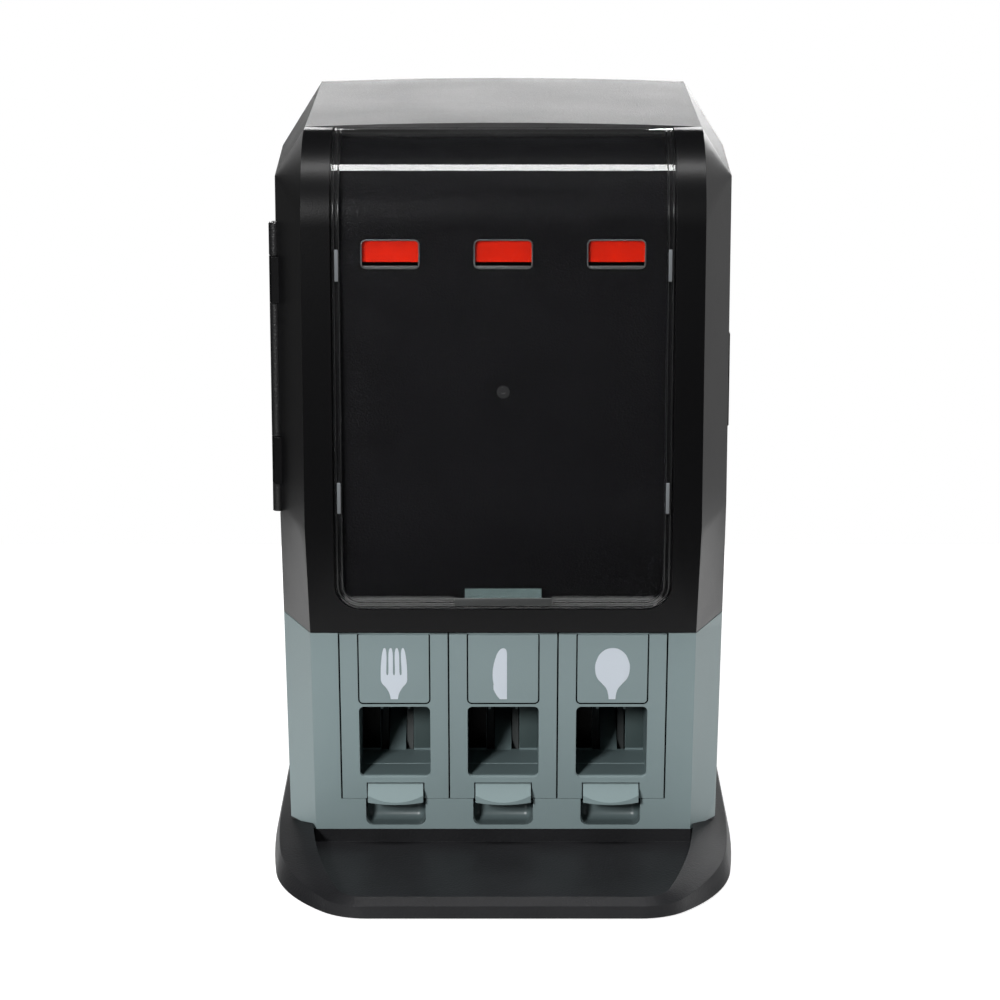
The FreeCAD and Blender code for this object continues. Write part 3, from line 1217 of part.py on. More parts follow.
def build_bay(name, index):
    """Bay front with its opening, the icon plate let into it, both leaning with the housing's face."""
    middle = lane(index)
    label = "bay_front_" + name
    scale = "cos(front_slant)"

    def up(z):
        return "((%s) - fold_z) / %s" % (z, scale)

    bay = Piece(label)
    bay.pad("XZ", slab(half("bay_half"), (up("bay_foot_z"), up("belt_z - 1"))), ("0", "bay_plate"))
    through = ("0 - joint_lap", "bay_plate + joint_lap")
    bay.pocket("XZ", slab(half("exit_half"), (up("exit_low_z"), up("exit_high_z")), "exit_round"), through)
    bay.pocket("XZ", slab(half("tab_width / 2 + tab_gap"), (up("bay_foot_z - 3"), up("tab_top_z + tab_gap"))),
               through)
    bay.pocket("XZ", [("0 - icon_width / 2 - icon_gap", up("icon_low_z - icon_gap"), "icon_round"),
                      ("icon_width / 2 + icon_gap", up("icon_low_z - icon_gap"), "icon_round"),
                      ("icon_width / 2 + icon_gap", up("belt_z + 2")),
                      ("0 - icon_width / 2 - icon_gap", up("belt_z + 2"))],
               ("0 - joint_lap", "icon_plate + icon_gap"))
    icon = Piece("icon_plate_" + name)
    icon.pad("XZ", [("0 - icon_width / 2", up("icon_low_z"), "icon_round - icon_gap"),
                    ("icon_width / 2", up("icon_low_z"), "icon_round - icon_gap"),
                    ("icon_width / 2", up("belt_z - 1.5")), ("0 - icon_width / 2", up("belt_z - 1.5"))],
             ("0", "icon_plate"))
    for piece in (bay, icon):
        piece.body.Placement = FreeCAD.Placement(Vector(), FreeCAD.Rotation(Vector(1, 0, 0), 1))
        bind(piece.body, Placement__Rotation__Angle="front_slant")
        move(piece.body, middle, "grey_y", "fold_z")
        node(piece.label, piece.body)


def build_exit_tray(name, index):
    """Exit tray behind an opening: sill, floor, cheeks, rear wall with its slots, ramp and axle ears."""
    label = "exit_tray_" + name
    tray = Piece(label)
    roof = "exit_high_z + tray_head"
    outer_half = "exit_half + tray_wall"
    gap = "bay_plate / cos(front_slant) + seat_gap"
    tray.pad("YZ", [(front("exit_low_z - tray_floor", gap), "exit_low_z - tray_floor"),
                    ("tray_back_y + tray_wall", "exit_low_z - tray_floor"),
                    ("tray_back_y + tray_wall", "%s + tray_wall" % roof),
                    (front("%s + tray_wall" % roof, gap), "%s + tray_wall" % roof)], half(outer_half))
    tray.pocket("YZ", [("face_y", "exit_low_z"), (front("exit_low_z", gap), "exit_low_z"),
                       (front("exit_low_z", "sill_run"), "floor_z"), ("tray_back_y", "floor_z"),
                       ("tray_back_y", roof), ("face_y", roof)], half("exit_half"))
    tray.pocket("XZ", slab(half("ramp_width / 2 + slot_width"), ("floor_z", "exit_high_z")),
                ("tray_back_y - joint_lap", "tray_back_y + tray_wall + joint_lap"))
    under = "exit_low_z - tray_floor"
    tray.pad("YZ", [("tray_back_y - tray_wall", "floor_z"), ("tray_back_y", "floor_z"),
                    ("ramp_end_y", "ramp_top_z"), ("ramp_end_y", "ramp_top_z - ramp_thick"),
                    ("tray_back_y + 2 * tray_wall", under), ("tray_back_y - tray_wall", under)],
             half("ramp_width / 2"))
    for sign in (-1, 1):
        guide = "%d * guide_offset" % sign
        tray.pad("YZ", slab((front("exit_high_z", "sill_run - guide_ahead"),
                             front("exit_high_z", "sill_run + guide_behind")),
                            ("%s - guide_drop" % roof, "%s + joint_lap" % roof)),
                 ("%s - guide_thick / 2" % guide, "%s + guide_thick / 2" % guide))
        ear_front = "tray_back_y + joint_lap / 2"
        tray.pad("YZ", [(ear_front, "exit_low_z - joint_lap"), ("axle_y - ear_round", "axle_z - ear_round"),
                        ("axle_y + ear_round", "axle_z - ear_round"),
                        ("axle_y + ear_round", "floor_z + ear_back_high"),
                        (ear_front, "floor_z + ear_front_high")],
                 side_span(sign, "ear_inner", "ear_inner + ear_thick"))
        tray.pad("YZ", slab(("chute_front_y + flange_in", "tray_back_y + tray_wall"),
                            ("floor_z + flange_lift", "exit_high_z")),
                 side_span(sign, outer_half + " - joint_lap", "chute_half - chute_wall - seat_gap"))
    bore = rod(label + "_bore", "x", "axle_radius + run_gap", ("0 - chute_half", "axle_y", "axle_z"),
               "2 * chute_half")
    node(label, move(cut(label + "_drilled", tray.body, bore), lane(index)))
    reach = "(ear_inner + ear_thick)"
    node("lever_axle_" + name, rod("axle_rod_" + name, "x", "axle_radius",
                                   ("%s - %s" % (lane(index), reach), "axle_y", "axle_z"), "2 * " + reach))
    node("return_spring_" + name, coil("spring_coil_" + name, "x", "axle_radius",
                                       ("%s + hub_half + spring_wire / 2 + seat_gap" % lane(index),
                                        "axle_y", "axle_z")))


def build_lever(name, index):
    """Finger lever: tab with its lip, neck, hub and two upright arms that straddle the ramp."""
    label = "lever_" + name
    lever = Piece(label)
    lip_y = front("tab_low_z", "0 - tab_reach")
    back_y = front("tab_top_z", "tab_back")
    neck_y = front("tab_top_z", "tab_back - 2 * joint_lap")
    neck_under = "tab_top_z - neck_thick"
    lever.pad("YZ", [(front("tab_top_z", "joint_lap / 2"), "tab_top_z"), (lip_y, "tab_low_z + tab_edge"),
                     (lip_y, "tab_low_z"), (front("tab_low_z", "tab_under"), "tab_low_z + tab_rise"),
                     (front("tab_low_z", "tab_root"), neck_under), (back_y, neck_under),
                     (back_y, "tab_top_z")], half("tab_width / 2"))
    lever.pad("YZ", [(neck_y, neck_under), ("axle_y", "axle_z - joint_lap"),
                     ("axle_y", "axle_z + neck_thick"), (neck_y, "tab_top_z")], half("hub_half"))
    hub = rod(label + "_hub", "x", "hub_radius", ("0 - hub_half", "axle_y", "axle_z"), "2 * hub_half")
    parts = [lever.body, hub]
    for side, sign in (("left", -1), ("right", 1)):
        span = side_span(sign, "arm_inner", "arm_inner + arm_thick")
        arm = Piece("%s_arm_%s" % (label, side))
        arm.pad("YZ", slab(half("tip_radius"), ("0", "arm_length")), span)
        arm.body.Placement = FreeCAD.Placement(Vector(), FreeCAD.Rotation(Vector(-1, 0, 0), 1))
        bind(arm.body, Placement__Rotation__Angle="arm_lean")
        move(arm.body, "0", "axle_y", "axle_z")
        parts.append(arm.body)
        parts.append(rod("%s_tip_%s" % (label, side), "x", "tip_radius", (span[0], "tip_y", "tip_z"),
                         "arm_thick"))
    bore = rod(label + "_bore", "x", "axle_radius + run_gap", ("0 - hub_half - joint_lap", "axle_y", "axle_z"),
               "2 * (hub_half + joint_lap)")
    lip_trim = lip_curve(label)
    node(label, move(cut(label + "_drilled", fuse(label + "_body", *parts), bore, lip_trim), lane(index)))


def lip_curve(label):
    """What the convex lip of the tab leaves off at its two front corners."""
    w = number("tab_width / 2 + joint_lap")
    lip, bow = number(front("tab_low_z", "0 - tab_reach")), number("lip_bow")
    low, height = number("tab_low_z - joint_lap"), number("tab_top_z - tab_low_z + 2 * joint_lap")
    left, right = Vector(-w, lip + bow, low), Vector(w, lip + bow, low)
    ahead = Vector(0, -2 * bow, 0)
    ends = [right, right + ahead, left + ahead, left]
    edges = [Part.Arc(left, Vector(0, lip - 0.01, low), right).toShape()]
    edges += [Part.LineSegment(*pair).toShape() for pair in zip(ends, ends[1:])]
    return solid_of(label + "_lip_trim", Part.Face(Part.Wire(edges)).extrude(Vector(0, 0, height)))


def build_chute(name, index):
    """Chute: two side walls, rear wall, floor and the two rails that carry the pusher."""
    chute = Piece("chute_" + name)
    inner = "chute_half - chute_wall"
    foot_z = "skirt_z + locator_rise + seat_gap"
    chute.pad("XY", slab(half("chute_half"), ("chute_front_y", "chute_back_y")), (foot_z, "chute_top_z"))
    chute.pocket("XY", slab(half(inner), ("chute_front_y - joint_lap", "chute_back_y - chute_wall")),
                 (foot_z + " - joint_lap", "chute_top_z + joint_lap"))
    bite = "joint_lap / 2"
    chute.pad("XY", slab(half("chute_half - " + bite), ("ramp_end_y + seat_gap", "chute_back_y - " + bite)),
              ("chute_floor_z - chute_floor", "chute_floor_z"))
    for sign in (-1, 1):
        chute.pad("XY", slab(side_span(sign, "%s - rail_width" % inner, "%s + %s" % (inner, bite)),
                             ("pusher_front_y - rail_ahead", "chute_back_y - " + bite)),
                  ("pusher_z - seat_gap - rail_thick", "pusher_z - seat_gap"))
    node("chute_" + name, move(chute.body, lane(index)))


def build_pusher(name, index):
    """Pusher: a cross bar over the lever's arms, two rails and the kicker behind the stack."""
    pusher = Piece("pusher_" + name)
    low = "pusher_z"
    depth = "2 * (tip_radius + tip_gap + bar_wall)"
    bar_y = ("pusher_front_y", "pusher_front_y + " + depth)
    bar_low = "tip_z"
    bar_top = "axle_z + arm_length + tip_radius + bar_clear + bar_head"
    pusher.pad("YZ", slab(bar_y, (bar_low, bar_top)), half("pusher_half"))
    for sign in (-1, 1):
        rail = side_span(sign, "pusher_half - pusher_rail_width", "pusher_half")
        pusher.pad("YZ", slab(("pusher_front_y", "kicker_y + joint_lap"),
                              (low, "%s + pusher_rail_high" % low)), rail)
        pusher.pad("YZ", slab(bar_y, (low, bar_top)), rail)
        pusher.pocket("YZ", slab(("tip_y - tip_radius - tip_gap", "tip_y + tip_radius + tip_gap"),
                                 ("%s - joint_lap" % bar_low, "%s - bar_head" % bar_top)),
                      side_span(sign, "arm_inner - arm_gap", "arm_inner + arm_thick + arm_gap"))
    between = "chute_half - chute_wall - rail_width - seat_gap"
    right = [(between, "chute_floor_z + kicker_lift"), (between, low), ("pusher_half", low),
             ("pusher_half", "%s + pusher_rail_high" % low)]
    left = [("0 - (%s)" % x, z) for x, z in reversed(right)]
    pusher.pad("XZ", right + left, ("kicker_y", "kicker_y + kicker_thick"))
    node("pusher_" + name, move(pusher.body, lane(index)))


def build_screws():
    """Screws from the base into the lower housing, and between the two housings."""
    base, joint = [], []
    for name, x, y in boss_places():
        head = rod("base_screw_head_" + name, "z", "fix_head", (x, y, "deck_z - fix_head_high"),
                   "fix_head_high")
        shank = rod("base_screw_shank_" + name, "z", "fix_radius", (x, y, "deck_z - joint_lap"),
                    "fix_length + base_skin - joint_lap")
        base.append(fuse("base_screw_" + name, head, shank))
    for name, sign, side_x, y in ear_places():
        x = "%d * %s" % (sign, side_x)
        head = rod("joint_screw_head_" + name, "z", "fix_head", (x, y, "belt_z + ear_high"), "fix_head_high")
        shank = rod("joint_screw_shank_" + name, "z", "fix_radius", (x, y, "belt_z - ear_high + joint_lap"),
                    "2 * ear_high")
        joint.append(fuse("joint_screw_" + name, head, shank))
    node("base_screws", group("base_screws", *base))
    node("joint_screws", group("joint_screws", *joint))


def check_and_export():
    """Refuse failed objects and bad shapes, then write each sub-part's file."""
    DOC.recompute()
    failed = [o.Name for o in DOC.Objects if {"Invalid", "Error"} & set(o.State)]
    if failed:
        raise RuntimeError("failed objects: %s" % ", ".join(failed))
    for label, item in NODES.items():
        if item.Shape.isNull() or not item.Shape.isValid() or not item.Shape.Solids:
            raise RuntimeError("bad shape: %s" % label)
    os.makedirs("parts", exist_ok=True)
    for label, item in NODES.items():
        item.Shape.exportStep("parts/%s.step" % label)
        box = item.Shape.BoundBox
        print("%-22s solids %d volume %9.0f  x %7.1f %7.1f  y %7.1f %7.1f  z %6.1f %6.1f" % (
            label, len(item.Shape.Solids), item.Shape.Volume, box.XMin, box.XMax, box.YMin, box.YMax, box.ZMin,
            box.ZMax))


def main():
    """Build the whole dispenser."""
    fill_sheet()
    build_base()
    build_lower_housing()
    build_rear_housing()
    build_door()
    build_window()
    build_carrier()
    build_flags()
    build_latch()
    for name, index in LANES:
        build_bay(name, index)
        build_exit_tray(name, index)
        build_lever(name, index)
        build_chute(name, index)
        build_pusher(name, index)
    build_screws()
    check_and_export()


main()
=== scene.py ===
"""Countertop cutlery dispenser with three lanes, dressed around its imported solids."""
import json
import logging
import math
from collections.abc import Callable
from dataclasses import dataclass
from enum import Enum

import bmesh
import bpy
from mathutils import Matrix, Vector

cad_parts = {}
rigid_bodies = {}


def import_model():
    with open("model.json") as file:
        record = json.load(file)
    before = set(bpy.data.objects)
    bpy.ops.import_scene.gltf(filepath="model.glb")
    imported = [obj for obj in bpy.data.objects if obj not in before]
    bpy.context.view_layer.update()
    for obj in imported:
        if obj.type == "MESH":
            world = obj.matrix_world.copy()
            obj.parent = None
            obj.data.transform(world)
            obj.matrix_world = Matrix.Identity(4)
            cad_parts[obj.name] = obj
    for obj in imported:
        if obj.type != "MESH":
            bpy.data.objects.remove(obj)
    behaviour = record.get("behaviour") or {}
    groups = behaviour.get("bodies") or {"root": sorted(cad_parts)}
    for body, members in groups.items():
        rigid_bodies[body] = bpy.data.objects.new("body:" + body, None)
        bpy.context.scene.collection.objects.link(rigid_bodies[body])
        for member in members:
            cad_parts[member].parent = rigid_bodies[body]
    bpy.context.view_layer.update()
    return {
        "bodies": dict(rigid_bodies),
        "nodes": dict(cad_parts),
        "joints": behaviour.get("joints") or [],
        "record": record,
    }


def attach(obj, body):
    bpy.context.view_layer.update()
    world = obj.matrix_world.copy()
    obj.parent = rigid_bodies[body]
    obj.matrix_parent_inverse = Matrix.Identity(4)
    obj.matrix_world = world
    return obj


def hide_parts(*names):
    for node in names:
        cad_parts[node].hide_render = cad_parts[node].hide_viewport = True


LOG = logging.getLogger("dispenser")
MM = 0.001
Piece = bpy.types.Object
Socket = bpy.types.NodeSocket
Node = bpy.types.Node
Tree = bpy.types.NodeTree
Material = bpy.types.Material
Colour = tuple[float, float, float]
Place = tuple[float, float, float]
Knot = tuple[float, float, bool]
Band = tuple[float, float]
Spots = tuple[tuple[str, float], ...]
WHITE = (1.0, 1.0, 1.0, 1.0)

# Sizes that several pieces share, in metres and degrees.
LANE_PITCH = 0.072
LANES = {"left": -LANE_PITCH, "centre": 0.0, "right": LANE_PITCH}
FOLD_Z = 0.2352
FACE_LEAN = 10.0
ROOT = "housing"
DOOR = "door"

# How edges are shaded and rounded, in degrees and metres, and the shares of its volume a piece may keep.
SMOOTH_PLAIN = 35.0
SMOOTH_SHAPED = 40.0
SMOOTH_BEAD = 60.0
MERGE_DISTANCE = 0.00001
FLAT_ANGLE = 0.4
FLAT_WEIGHT = 80
VOLUME_KEPT = (0.97, 1.01)


class Slot(Enum):
    """The record's material slots, which new pieces are handed but don't use."""

    SHELL = "black_shell"
    BASE = "black_base"
    INNER = "black_inner"
    GREY = "grey_shell"
    GREY_INNER = "grey_inner"
    LEVER = "lever_grey"
    WINDOW = "clear_window"
    FLAG = "flag_red"


# ---- Shader groups ----

def set_inputs(node: Node, values: dict[str, object]) -> None:
    """Set a node's inputs by their names."""
    for name, value in values.items():
        node.inputs[name].default_value = value


class Sheet:
    """A node tree with short ways to add and join nodes."""

    def __init__(self, tree: Tree) -> None:
        """Keep the tree."""
        self.tree = tree

    def node(self, kind: str, **values: object) -> Node:
        """Add a node and set its plain properties.

        Args:
            kind: node type.
            **values: properties of the node.

        Returns:
            The new node.
        """
        made = self.tree.nodes.new(kind)
        for name, value in values.items():
            setattr(made, name, value)
        return made

    def link(self, source: Socket, target: Socket) -> None:
        """Join two sockets."""
        self.tree.links.new(source, target)

    def maths(self, operation: str, first: object, second: object) -> Socket:
        """Add a Math node.

        Args:
            operation: the operation.
            first: a socket or a number.
            second: a socket or a number.

        Returns:
            The result's socket.
        """
        made = self.node("ShaderNodeMath", operation=operation)
        for index, value in enumerate((first, second)):
            if isinstance(value, Socket):
                self.link(value, made.inputs[index])
            else:
                made.inputs[index].default_value = value
        return made.outputs[0]

    def band(self, value: Socket, span: Band, first: float, last: float) -> Socket:
        """Let a value go softly from one level to another.

        Args:
            value: the socket that drives it.
            span: where the change starts and where it ends.
            first: level before it.
            last: level after it.

        Returns:
            The result's socket.
        """
        made = self.node("ShaderNodeMapRange", interpolation_type="SMOOTHSTEP")
        self.link(value, made.inputs["Value"])
        set_inputs(made, {"From Min": span[0], "From Max": span[1], "To Min": first, "To Max": last})
        return made.outputs["Result"]

    def mix(self, share: Socket, first: Socket, second: Socket) -> Socket:
        """Mix two shaders.

        Args:
            share: socket that holds the second one's share.
            first: the first shader's socket.
            second: the second shader's socket.

        Returns:
            The result's socket.
        """
        made = self.node("ShaderNodeMixShader")
        self.link(share, made.inputs["Fac"])
        self.link(first, made.inputs[1])
        self.link(second, made.inputs[2])
        return made.outputs["Shader"]

    def relief(self, texture: Node, shader: Node, depth: float) -> None:
        """Let a group set a shader's roughness and, as relief, its normal.

        Args:
            texture: node of the group, with Roughness and Height outputs.
            shader: the shader.
            depth: depth of the relief, in metres.
        """
        bump = self.node("ShaderNodeBump")
        set_inputs(bump, {"Strength": 1.0, "Distance": depth})
        self.link(texture.outputs["Roughness"], shader.inputs["Roughness"])
        self.link(texture.outputs["Height"], bump.inputs["Height"])
        self.link(bump.outputs["Normal"], shader.inputs["Normal"])


class ShaderGroup(Sheet):
    """A node group with named inputs and outputs that several finishes share."""

    def __init__(self, name: str) -> None:
        """Start an empty group.

        Args:
            name: name of the group.
        """
        super().__init__(bpy.data.node_groups.new(name, "ShaderNodeTree"))
        self.enter = self.node("NodeGroupInput")
        self.leave = self.node("NodeGroupOutput")

    def socket(self, name: str, way: str, kind: str = "NodeSocketFloat",
               value: float | None = None) -> None:
        """Add a socket to the group.

        Args:
            name: the socket's name.
            way: INPUT or OUTPUT.
            kind: the socket's type.
            value: default value of an input.
        """
        made = self.tree.interface.new_socket(name=name, in_out=way, socket_type=kind)
        if value is not None:
            made.default_value = value


def mould_grain() -> Tree:
    """Grain of a textured mould: fine pebbles and a little mottling.

    Returns:
        The group, with Colour, Roughness and Height outputs.
    """
    fine_height, middle_of_noise = 0.6, 0.5
    group = ShaderGroup("mould_grain")
    for name, value in (("Grain Size", 1200.0), ("Mottle Size", 14.0), ("Roughness", 0.5),
                        ("Roughness Spread", 0.08), ("Colour Spread", 0.1)):
        group.socket(name, "INPUT", value=value)
    group.socket("Colour", "INPUT", "NodeSocketColor")
    group.socket("Colour", "OUTPUT", "NodeSocketColor")
    group.socket("Roughness", "OUTPUT")
    group.socket("Height", "OUTPUT")
    given, result = group.enter.outputs, group.leave.inputs
    place = group.node("ShaderNodeTexCoord").outputs["Object"]
    pebbles = group.node("ShaderNodeTexVoronoi", feature="SMOOTH_F1")
    fine, mottle = group.node("ShaderNodeTexNoise"), group.node("ShaderNodeTexNoise")
    set_inputs(pebbles, {"Smoothness": 0.6})
    set_inputs(fine, {"Detail": 3.0})
    set_inputs(mottle, {"Detail": 4.0, "Roughness": 0.6})
    for texture, size in ((pebbles, "Grain Size"), (fine, "Grain Size"), (mottle, "Mottle Size")):
        group.link(place, texture.inputs["Vector"])
        group.link(given[size], texture.inputs["Scale"])
    height = group.maths("MULTIPLY", fine.outputs["Fac"], fine_height)
    group.link(group.maths("ADD", pebbles.outputs["Distance"], height), result["Height"])
    drift = group.maths("SUBTRACT", mottle.outputs["Fac"], middle_of_noise)
    rough = group.maths("ADD", given["Roughness"], group.maths("MULTIPLY", drift, given["Roughness Spread"]))
    speckle = group.maths("MULTIPLY", group.maths("SUBTRACT", fine.outputs["Fac"], middle_of_noise),
                          given["Roughness Spread"])
    group.link(group.maths("ADD", rough, speckle), result["Roughness"])
    change = group.maths("MULTIPLY", group.maths("ADD", drift, speckle), given["Colour Spread"])
    mixed = group.node("ShaderNodeVectorMath", operation="SCALE")
    group.link(given["Colour"], mixed.inputs[0])
    group.link(group.maths("ADD", 1.0, change), mixed.inputs["Scale"])
    group.link(mixed.outputs[0], result["Colour"])
    return group.tree


def brushed_metal() -> Tree:
    """Fine lengthwise streaks of a drawn or turned metal part.

    Returns:
        The group, with Roughness and Height outputs.
    """
    along_streak, middle_of_noise, swing = (1.0, 1.0, 0.05), 0.5, 0.2
    group = ShaderGroup("brushed_metal")
    group.socket("Streak Size", "INPUT", value=500.0)
    group.socket("Roughness", "INPUT", value=0.3)
    group.socket("Roughness", "OUTPUT")
    group.socket("Height", "OUTPUT")
    given, result = group.enter.outputs, group.leave.inputs
    stretch = group.node("ShaderNodeMapping")
    set_inputs(stretch, {"Scale": along_streak})
    streaks = group.node("ShaderNodeTexNoise")
    group.link(group.node("ShaderNodeTexCoord").outputs["Object"], stretch.inputs["Vector"])
    group.link(stretch.outputs["Vector"], streaks.inputs["Vector"])
    group.link(given["Streak Size"], streaks.inputs["Scale"])
    change = group.maths("MULTIPLY", group.maths("SUBTRACT", streaks.outputs["Fac"], middle_of_noise), swing)
    group.link(group.maths("ADD", given["Roughness"], change), result["Roughness"])
    group.link(streaks.outputs["Fac"], result["Height"])
    return group.tree


# ---- Finishes ----

def shader_tree(name: str) -> tuple[Material, Node]:
    """A new material with its Principled shader.

    Args:
        name: name of the material.

    Returns:
        The material and its Principled node.
    """
    material = bpy.data.materials.new(name)
    material.use_nodes = True
    return material, material.node_tree.nodes["Principled BSDF"]


@dataclass(frozen=True)
class Grain:
    """Grain of a mould: how fine and deep its pebbles are, and how much they vary the finish."""

    size: float = 1500.0
    depth: float = 0.00001
    mottle: float = 14.0
    roughness_spread: float = 0.06
    colour_spread: float = 0.06


SATIN_GRAIN = Grain()
SEAM_GRAIN = Grain(roughness_spread=0.05, colour_spread=0.1)
FLAG_GRAIN = Grain(mottle=20.0, colour_spread=0.08)
PRINT_GRAIN = Grain(mottle=30.0, roughness_spread=0.05, colour_spread=0.03)
TRIM_GRAIN = Grain(size=1100.0, mottle=9.0, roughness_spread=0.05, colour_spread=0.2)
HOOK_GRAIN = Grain(size=1100.0, mottle=9.0, roughness_spread=0.04, colour_spread=0.1)
FRAME_GRAIN = Grain(size=1100.0, depth=0.00003, mottle=9.0, roughness_spread=0.08, colour_spread=0.2)
GREY_GRAIN = Grain(size=1000.0, depth=0.00004, mottle=12.0, roughness_spread=0.08, colour_spread=0.1)
INNER_GRAIN = Grain(size=800.0, depth=0.00012, mottle=9.0, roughness_spread=0.08, colour_spread=0.3)
CASE_GRAIN = Grain(size=800.0, depth=0.00018, mottle=10.0, roughness_spread=0.12, colour_spread=0.3)
BASE_GRAIN = Grain(size=700.0, depth=0.00012, mottle=12.0, colour_spread=1.0)
RUBBER_GRAIN = Grain(size=900.0, depth=0.00005, mottle=20.0, roughness_spread=0.1, colour_spread=0.2)


@dataclass(frozen=True)
class Moulded:
    """Moulded plastic with the grain of its mould."""

    colour: Colour
    roughness: float
    grain: Grain
    specular: float = 0.5
    # Painted shade: how dark the colour gets deep inside the object, and over which depths it darkens.
    painted_inner_shade: float = 1.0
    painted_shade_span: Band = (-0.060, -0.040)

    def build(self, name: str, groups: dict[str, Tree]) -> Material:
        """Make the material; with a painted inner shade, its colour darkens towards the inside of the object
        as painted shade where light doesn't reach.

        Args:
            name: name of the material.
            groups: the shared shader groups.

        Returns:
            The material.
        """
        material, shader = shader_tree(name)
        sheet = Sheet(material.node_tree)
        grain = sheet.node("ShaderNodeGroup", node_tree=groups["mould_grain"])
        set_inputs(grain, {"Grain Size": self.grain.size, "Mottle Size": self.grain.mottle,
                           "Roughness": self.roughness, "Roughness Spread": self.grain.roughness_spread,
                           "Colour Spread": self.grain.colour_spread, "Colour": (*self.colour, 1.0)})
        sheet.relief(grain, shader, self.grain.depth)
        colour = grain.outputs["Colour"]
        # Painted shade: the colour darkens with depth, where the inside gets less light.
        if self.painted_inner_shade < 1.0:
            axes = sheet.node("ShaderNodeSeparateXYZ")
            darker = sheet.node("ShaderNodeVectorMath", operation="SCALE")
            sheet.link(sheet.node("ShaderNodeTexCoord").outputs["Object"], axes.inputs[0])
            sheet.link(colour, darker.inputs[0])
            shade = sheet.band(axes.outputs["Y"], self.painted_shade_span, 1.0, self.painted_inner_shade)
            sheet.link(shade, darker.inputs["Scale"])
            colour = darker.outputs[0]
        sheet.link(colour, shader.inputs["Base Color"])
        set_inputs(shader, {"Specular IOR Level": self.specular})
        return material


@dataclass(frozen=True)
class Clear:
    """Clear polished plastic that lets light through to what is behind it."""

    colour: Colour = (0.94, 0.95, 0.95)
    roughness: float = 0.015
    ior: float = 1.49

    def build(self, name: str, groups: dict[str, Tree]) -> Material:
        """Make the material, which casts no shadow.

        Args:
            name: name of the material.
            groups: the shared shader groups, not needed here.

        Returns:
            The material.
        """
        material, shader = shader_tree(name)
        sheet = Sheet(material.node_tree)
        set_inputs(shader, {"Base Color": (*self.colour, 1.0), "Roughness": self.roughness, "IOR": self.ior,
                            "Transmission Weight": 1.0})
        shadow = sheet.node("ShaderNodeLightPath").outputs["Is Shadow Ray"]
        nothing = sheet.node("ShaderNodeBsdfTransparent").outputs["BSDF"]
        mixed = sheet.mix(shadow, shader.outputs["BSDF"], nothing)
        sheet.link(mixed, material.node_tree.nodes["Material Output"].inputs["Surface"])
        return material


@dataclass(frozen=True)
class Metal:
    """Plated or blackened metal with fine streaks."""

    colour: Colour
    roughness: float
    metallic: float = 1.0
    depth: float = 0.00001

    def build(self, name: str, groups: dict[str, Tree]) -> Material:
        """Make the material.

        Args:
            name: name of the material.
            groups: the shared shader groups.

        Returns:
            The material.
        """
        material, shader = shader_tree(name)
        sheet = Sheet(material.node_tree)
        streaks = sheet.node("ShaderNodeGroup", node_tree=groups["brushed_metal"])
        set_inputs(streaks, {"Roughness": self.roughness})
        sheet.relief(streaks, shader, self.depth)
        set_inputs(shader, {"Base Color": (*self.colour, 1.0), "Metallic": self.metallic})
        return material


class Finish(Enum):
    """The finishes; each gives its name to a material."""

    BLACK_GRAINED = Moulded((0.007, 0.007, 0.0075), 0.44, CASE_GRAIN, specular=0.4)
    BLACK_FRAME = Moulded((0.0040, 0.0040, 0.0044), 0.32, FRAME_GRAIN, specular=0.17)
    BLACK_BASE = Moulded((0.014, 0.0142, 0.0155), 0.43, BASE_GRAIN, specular=0.14)
    BLACK_INNER = Moulded((0.0026, 0.0026, 0.0030), 0.34, INNER_GRAIN, specular=0.06)
    BLACK_GLOSS = Moulded((0.006, 0.006, 0.0065), 0.16, TRIM_GRAIN)
    # Also paints the highlight on the beads and sills of the flag slots.
    TRIM_GREY = Moulded((0.045, 0.047, 0.047), 0.34, TRIM_GRAIN, specular=0.4)
    HOOK_CLEAR = Moulded((0.16, 0.17, 0.18), 0.14, HOOK_GRAIN)
    GREY_GRAINED = Moulded((0.236, 0.306, 0.314), 0.48, GREY_GRAIN)
    # Darker than the housing's grey: painted shade inside the exits, on the exit trays.
    GREY_SMOOTH = Moulded((0.140, 0.190, 0.196), 0.44, SATIN_GRAIN, specular=0.4)
    GREY_DULL = Moulded((0.050, 0.072, 0.072), 0.5, SATIN_GRAIN, specular=0.3)
    # The lever's arms deep inside the object are darkened by painted shade.
    LEVER_SATIN = Moulded((0.190, 0.250, 0.256), 0.40, SATIN_GRAIN, specular=0.4, painted_inner_shade=0.12)
    # Darker than the housing's grey: painted shade inside the finger scoops.
    GREY_BOWL_PAINTED_SHADE = Moulded((0.100, 0.134, 0.138), 0.34, SATIN_GRAIN)
    FLAG_ORANGE = Moulded((0.30, 0.0055, 0.0002), 0.42, FLAG_GRAIN, specular=0.05)
    PALE_PRINT = Moulded((0.66, 0.72, 0.79), 0.5, PRINT_GRAIN)
    # Grey darkened to near black: painted shade on the pusher deep inside the lanes.
    GREY_PAINTED_DEEP_SHADE = Moulded((0.012, 0.016, 0.016), 0.5, SATIN_GRAIN, specular=0.3)
    # Flat black without sheen for the beads that paint the shade in the seams.
    SEAM_BLACK = Moulded((0.0012, 0.0012, 0.0013), 0.9, SEAM_GRAIN, specular=0.0)
    FOOT_RUBBER = Moulded((0.02, 0.02, 0.02), 0.75, RUBBER_GRAIN)
    CLEAR_COVER = Clear()
    ZINC_STEEL = Metal((0.52, 0.52, 0.50), 0.3)
    BLACK_STEEL = Metal((0.006, 0.006, 0.0065), 0.35, metallic=0.2)


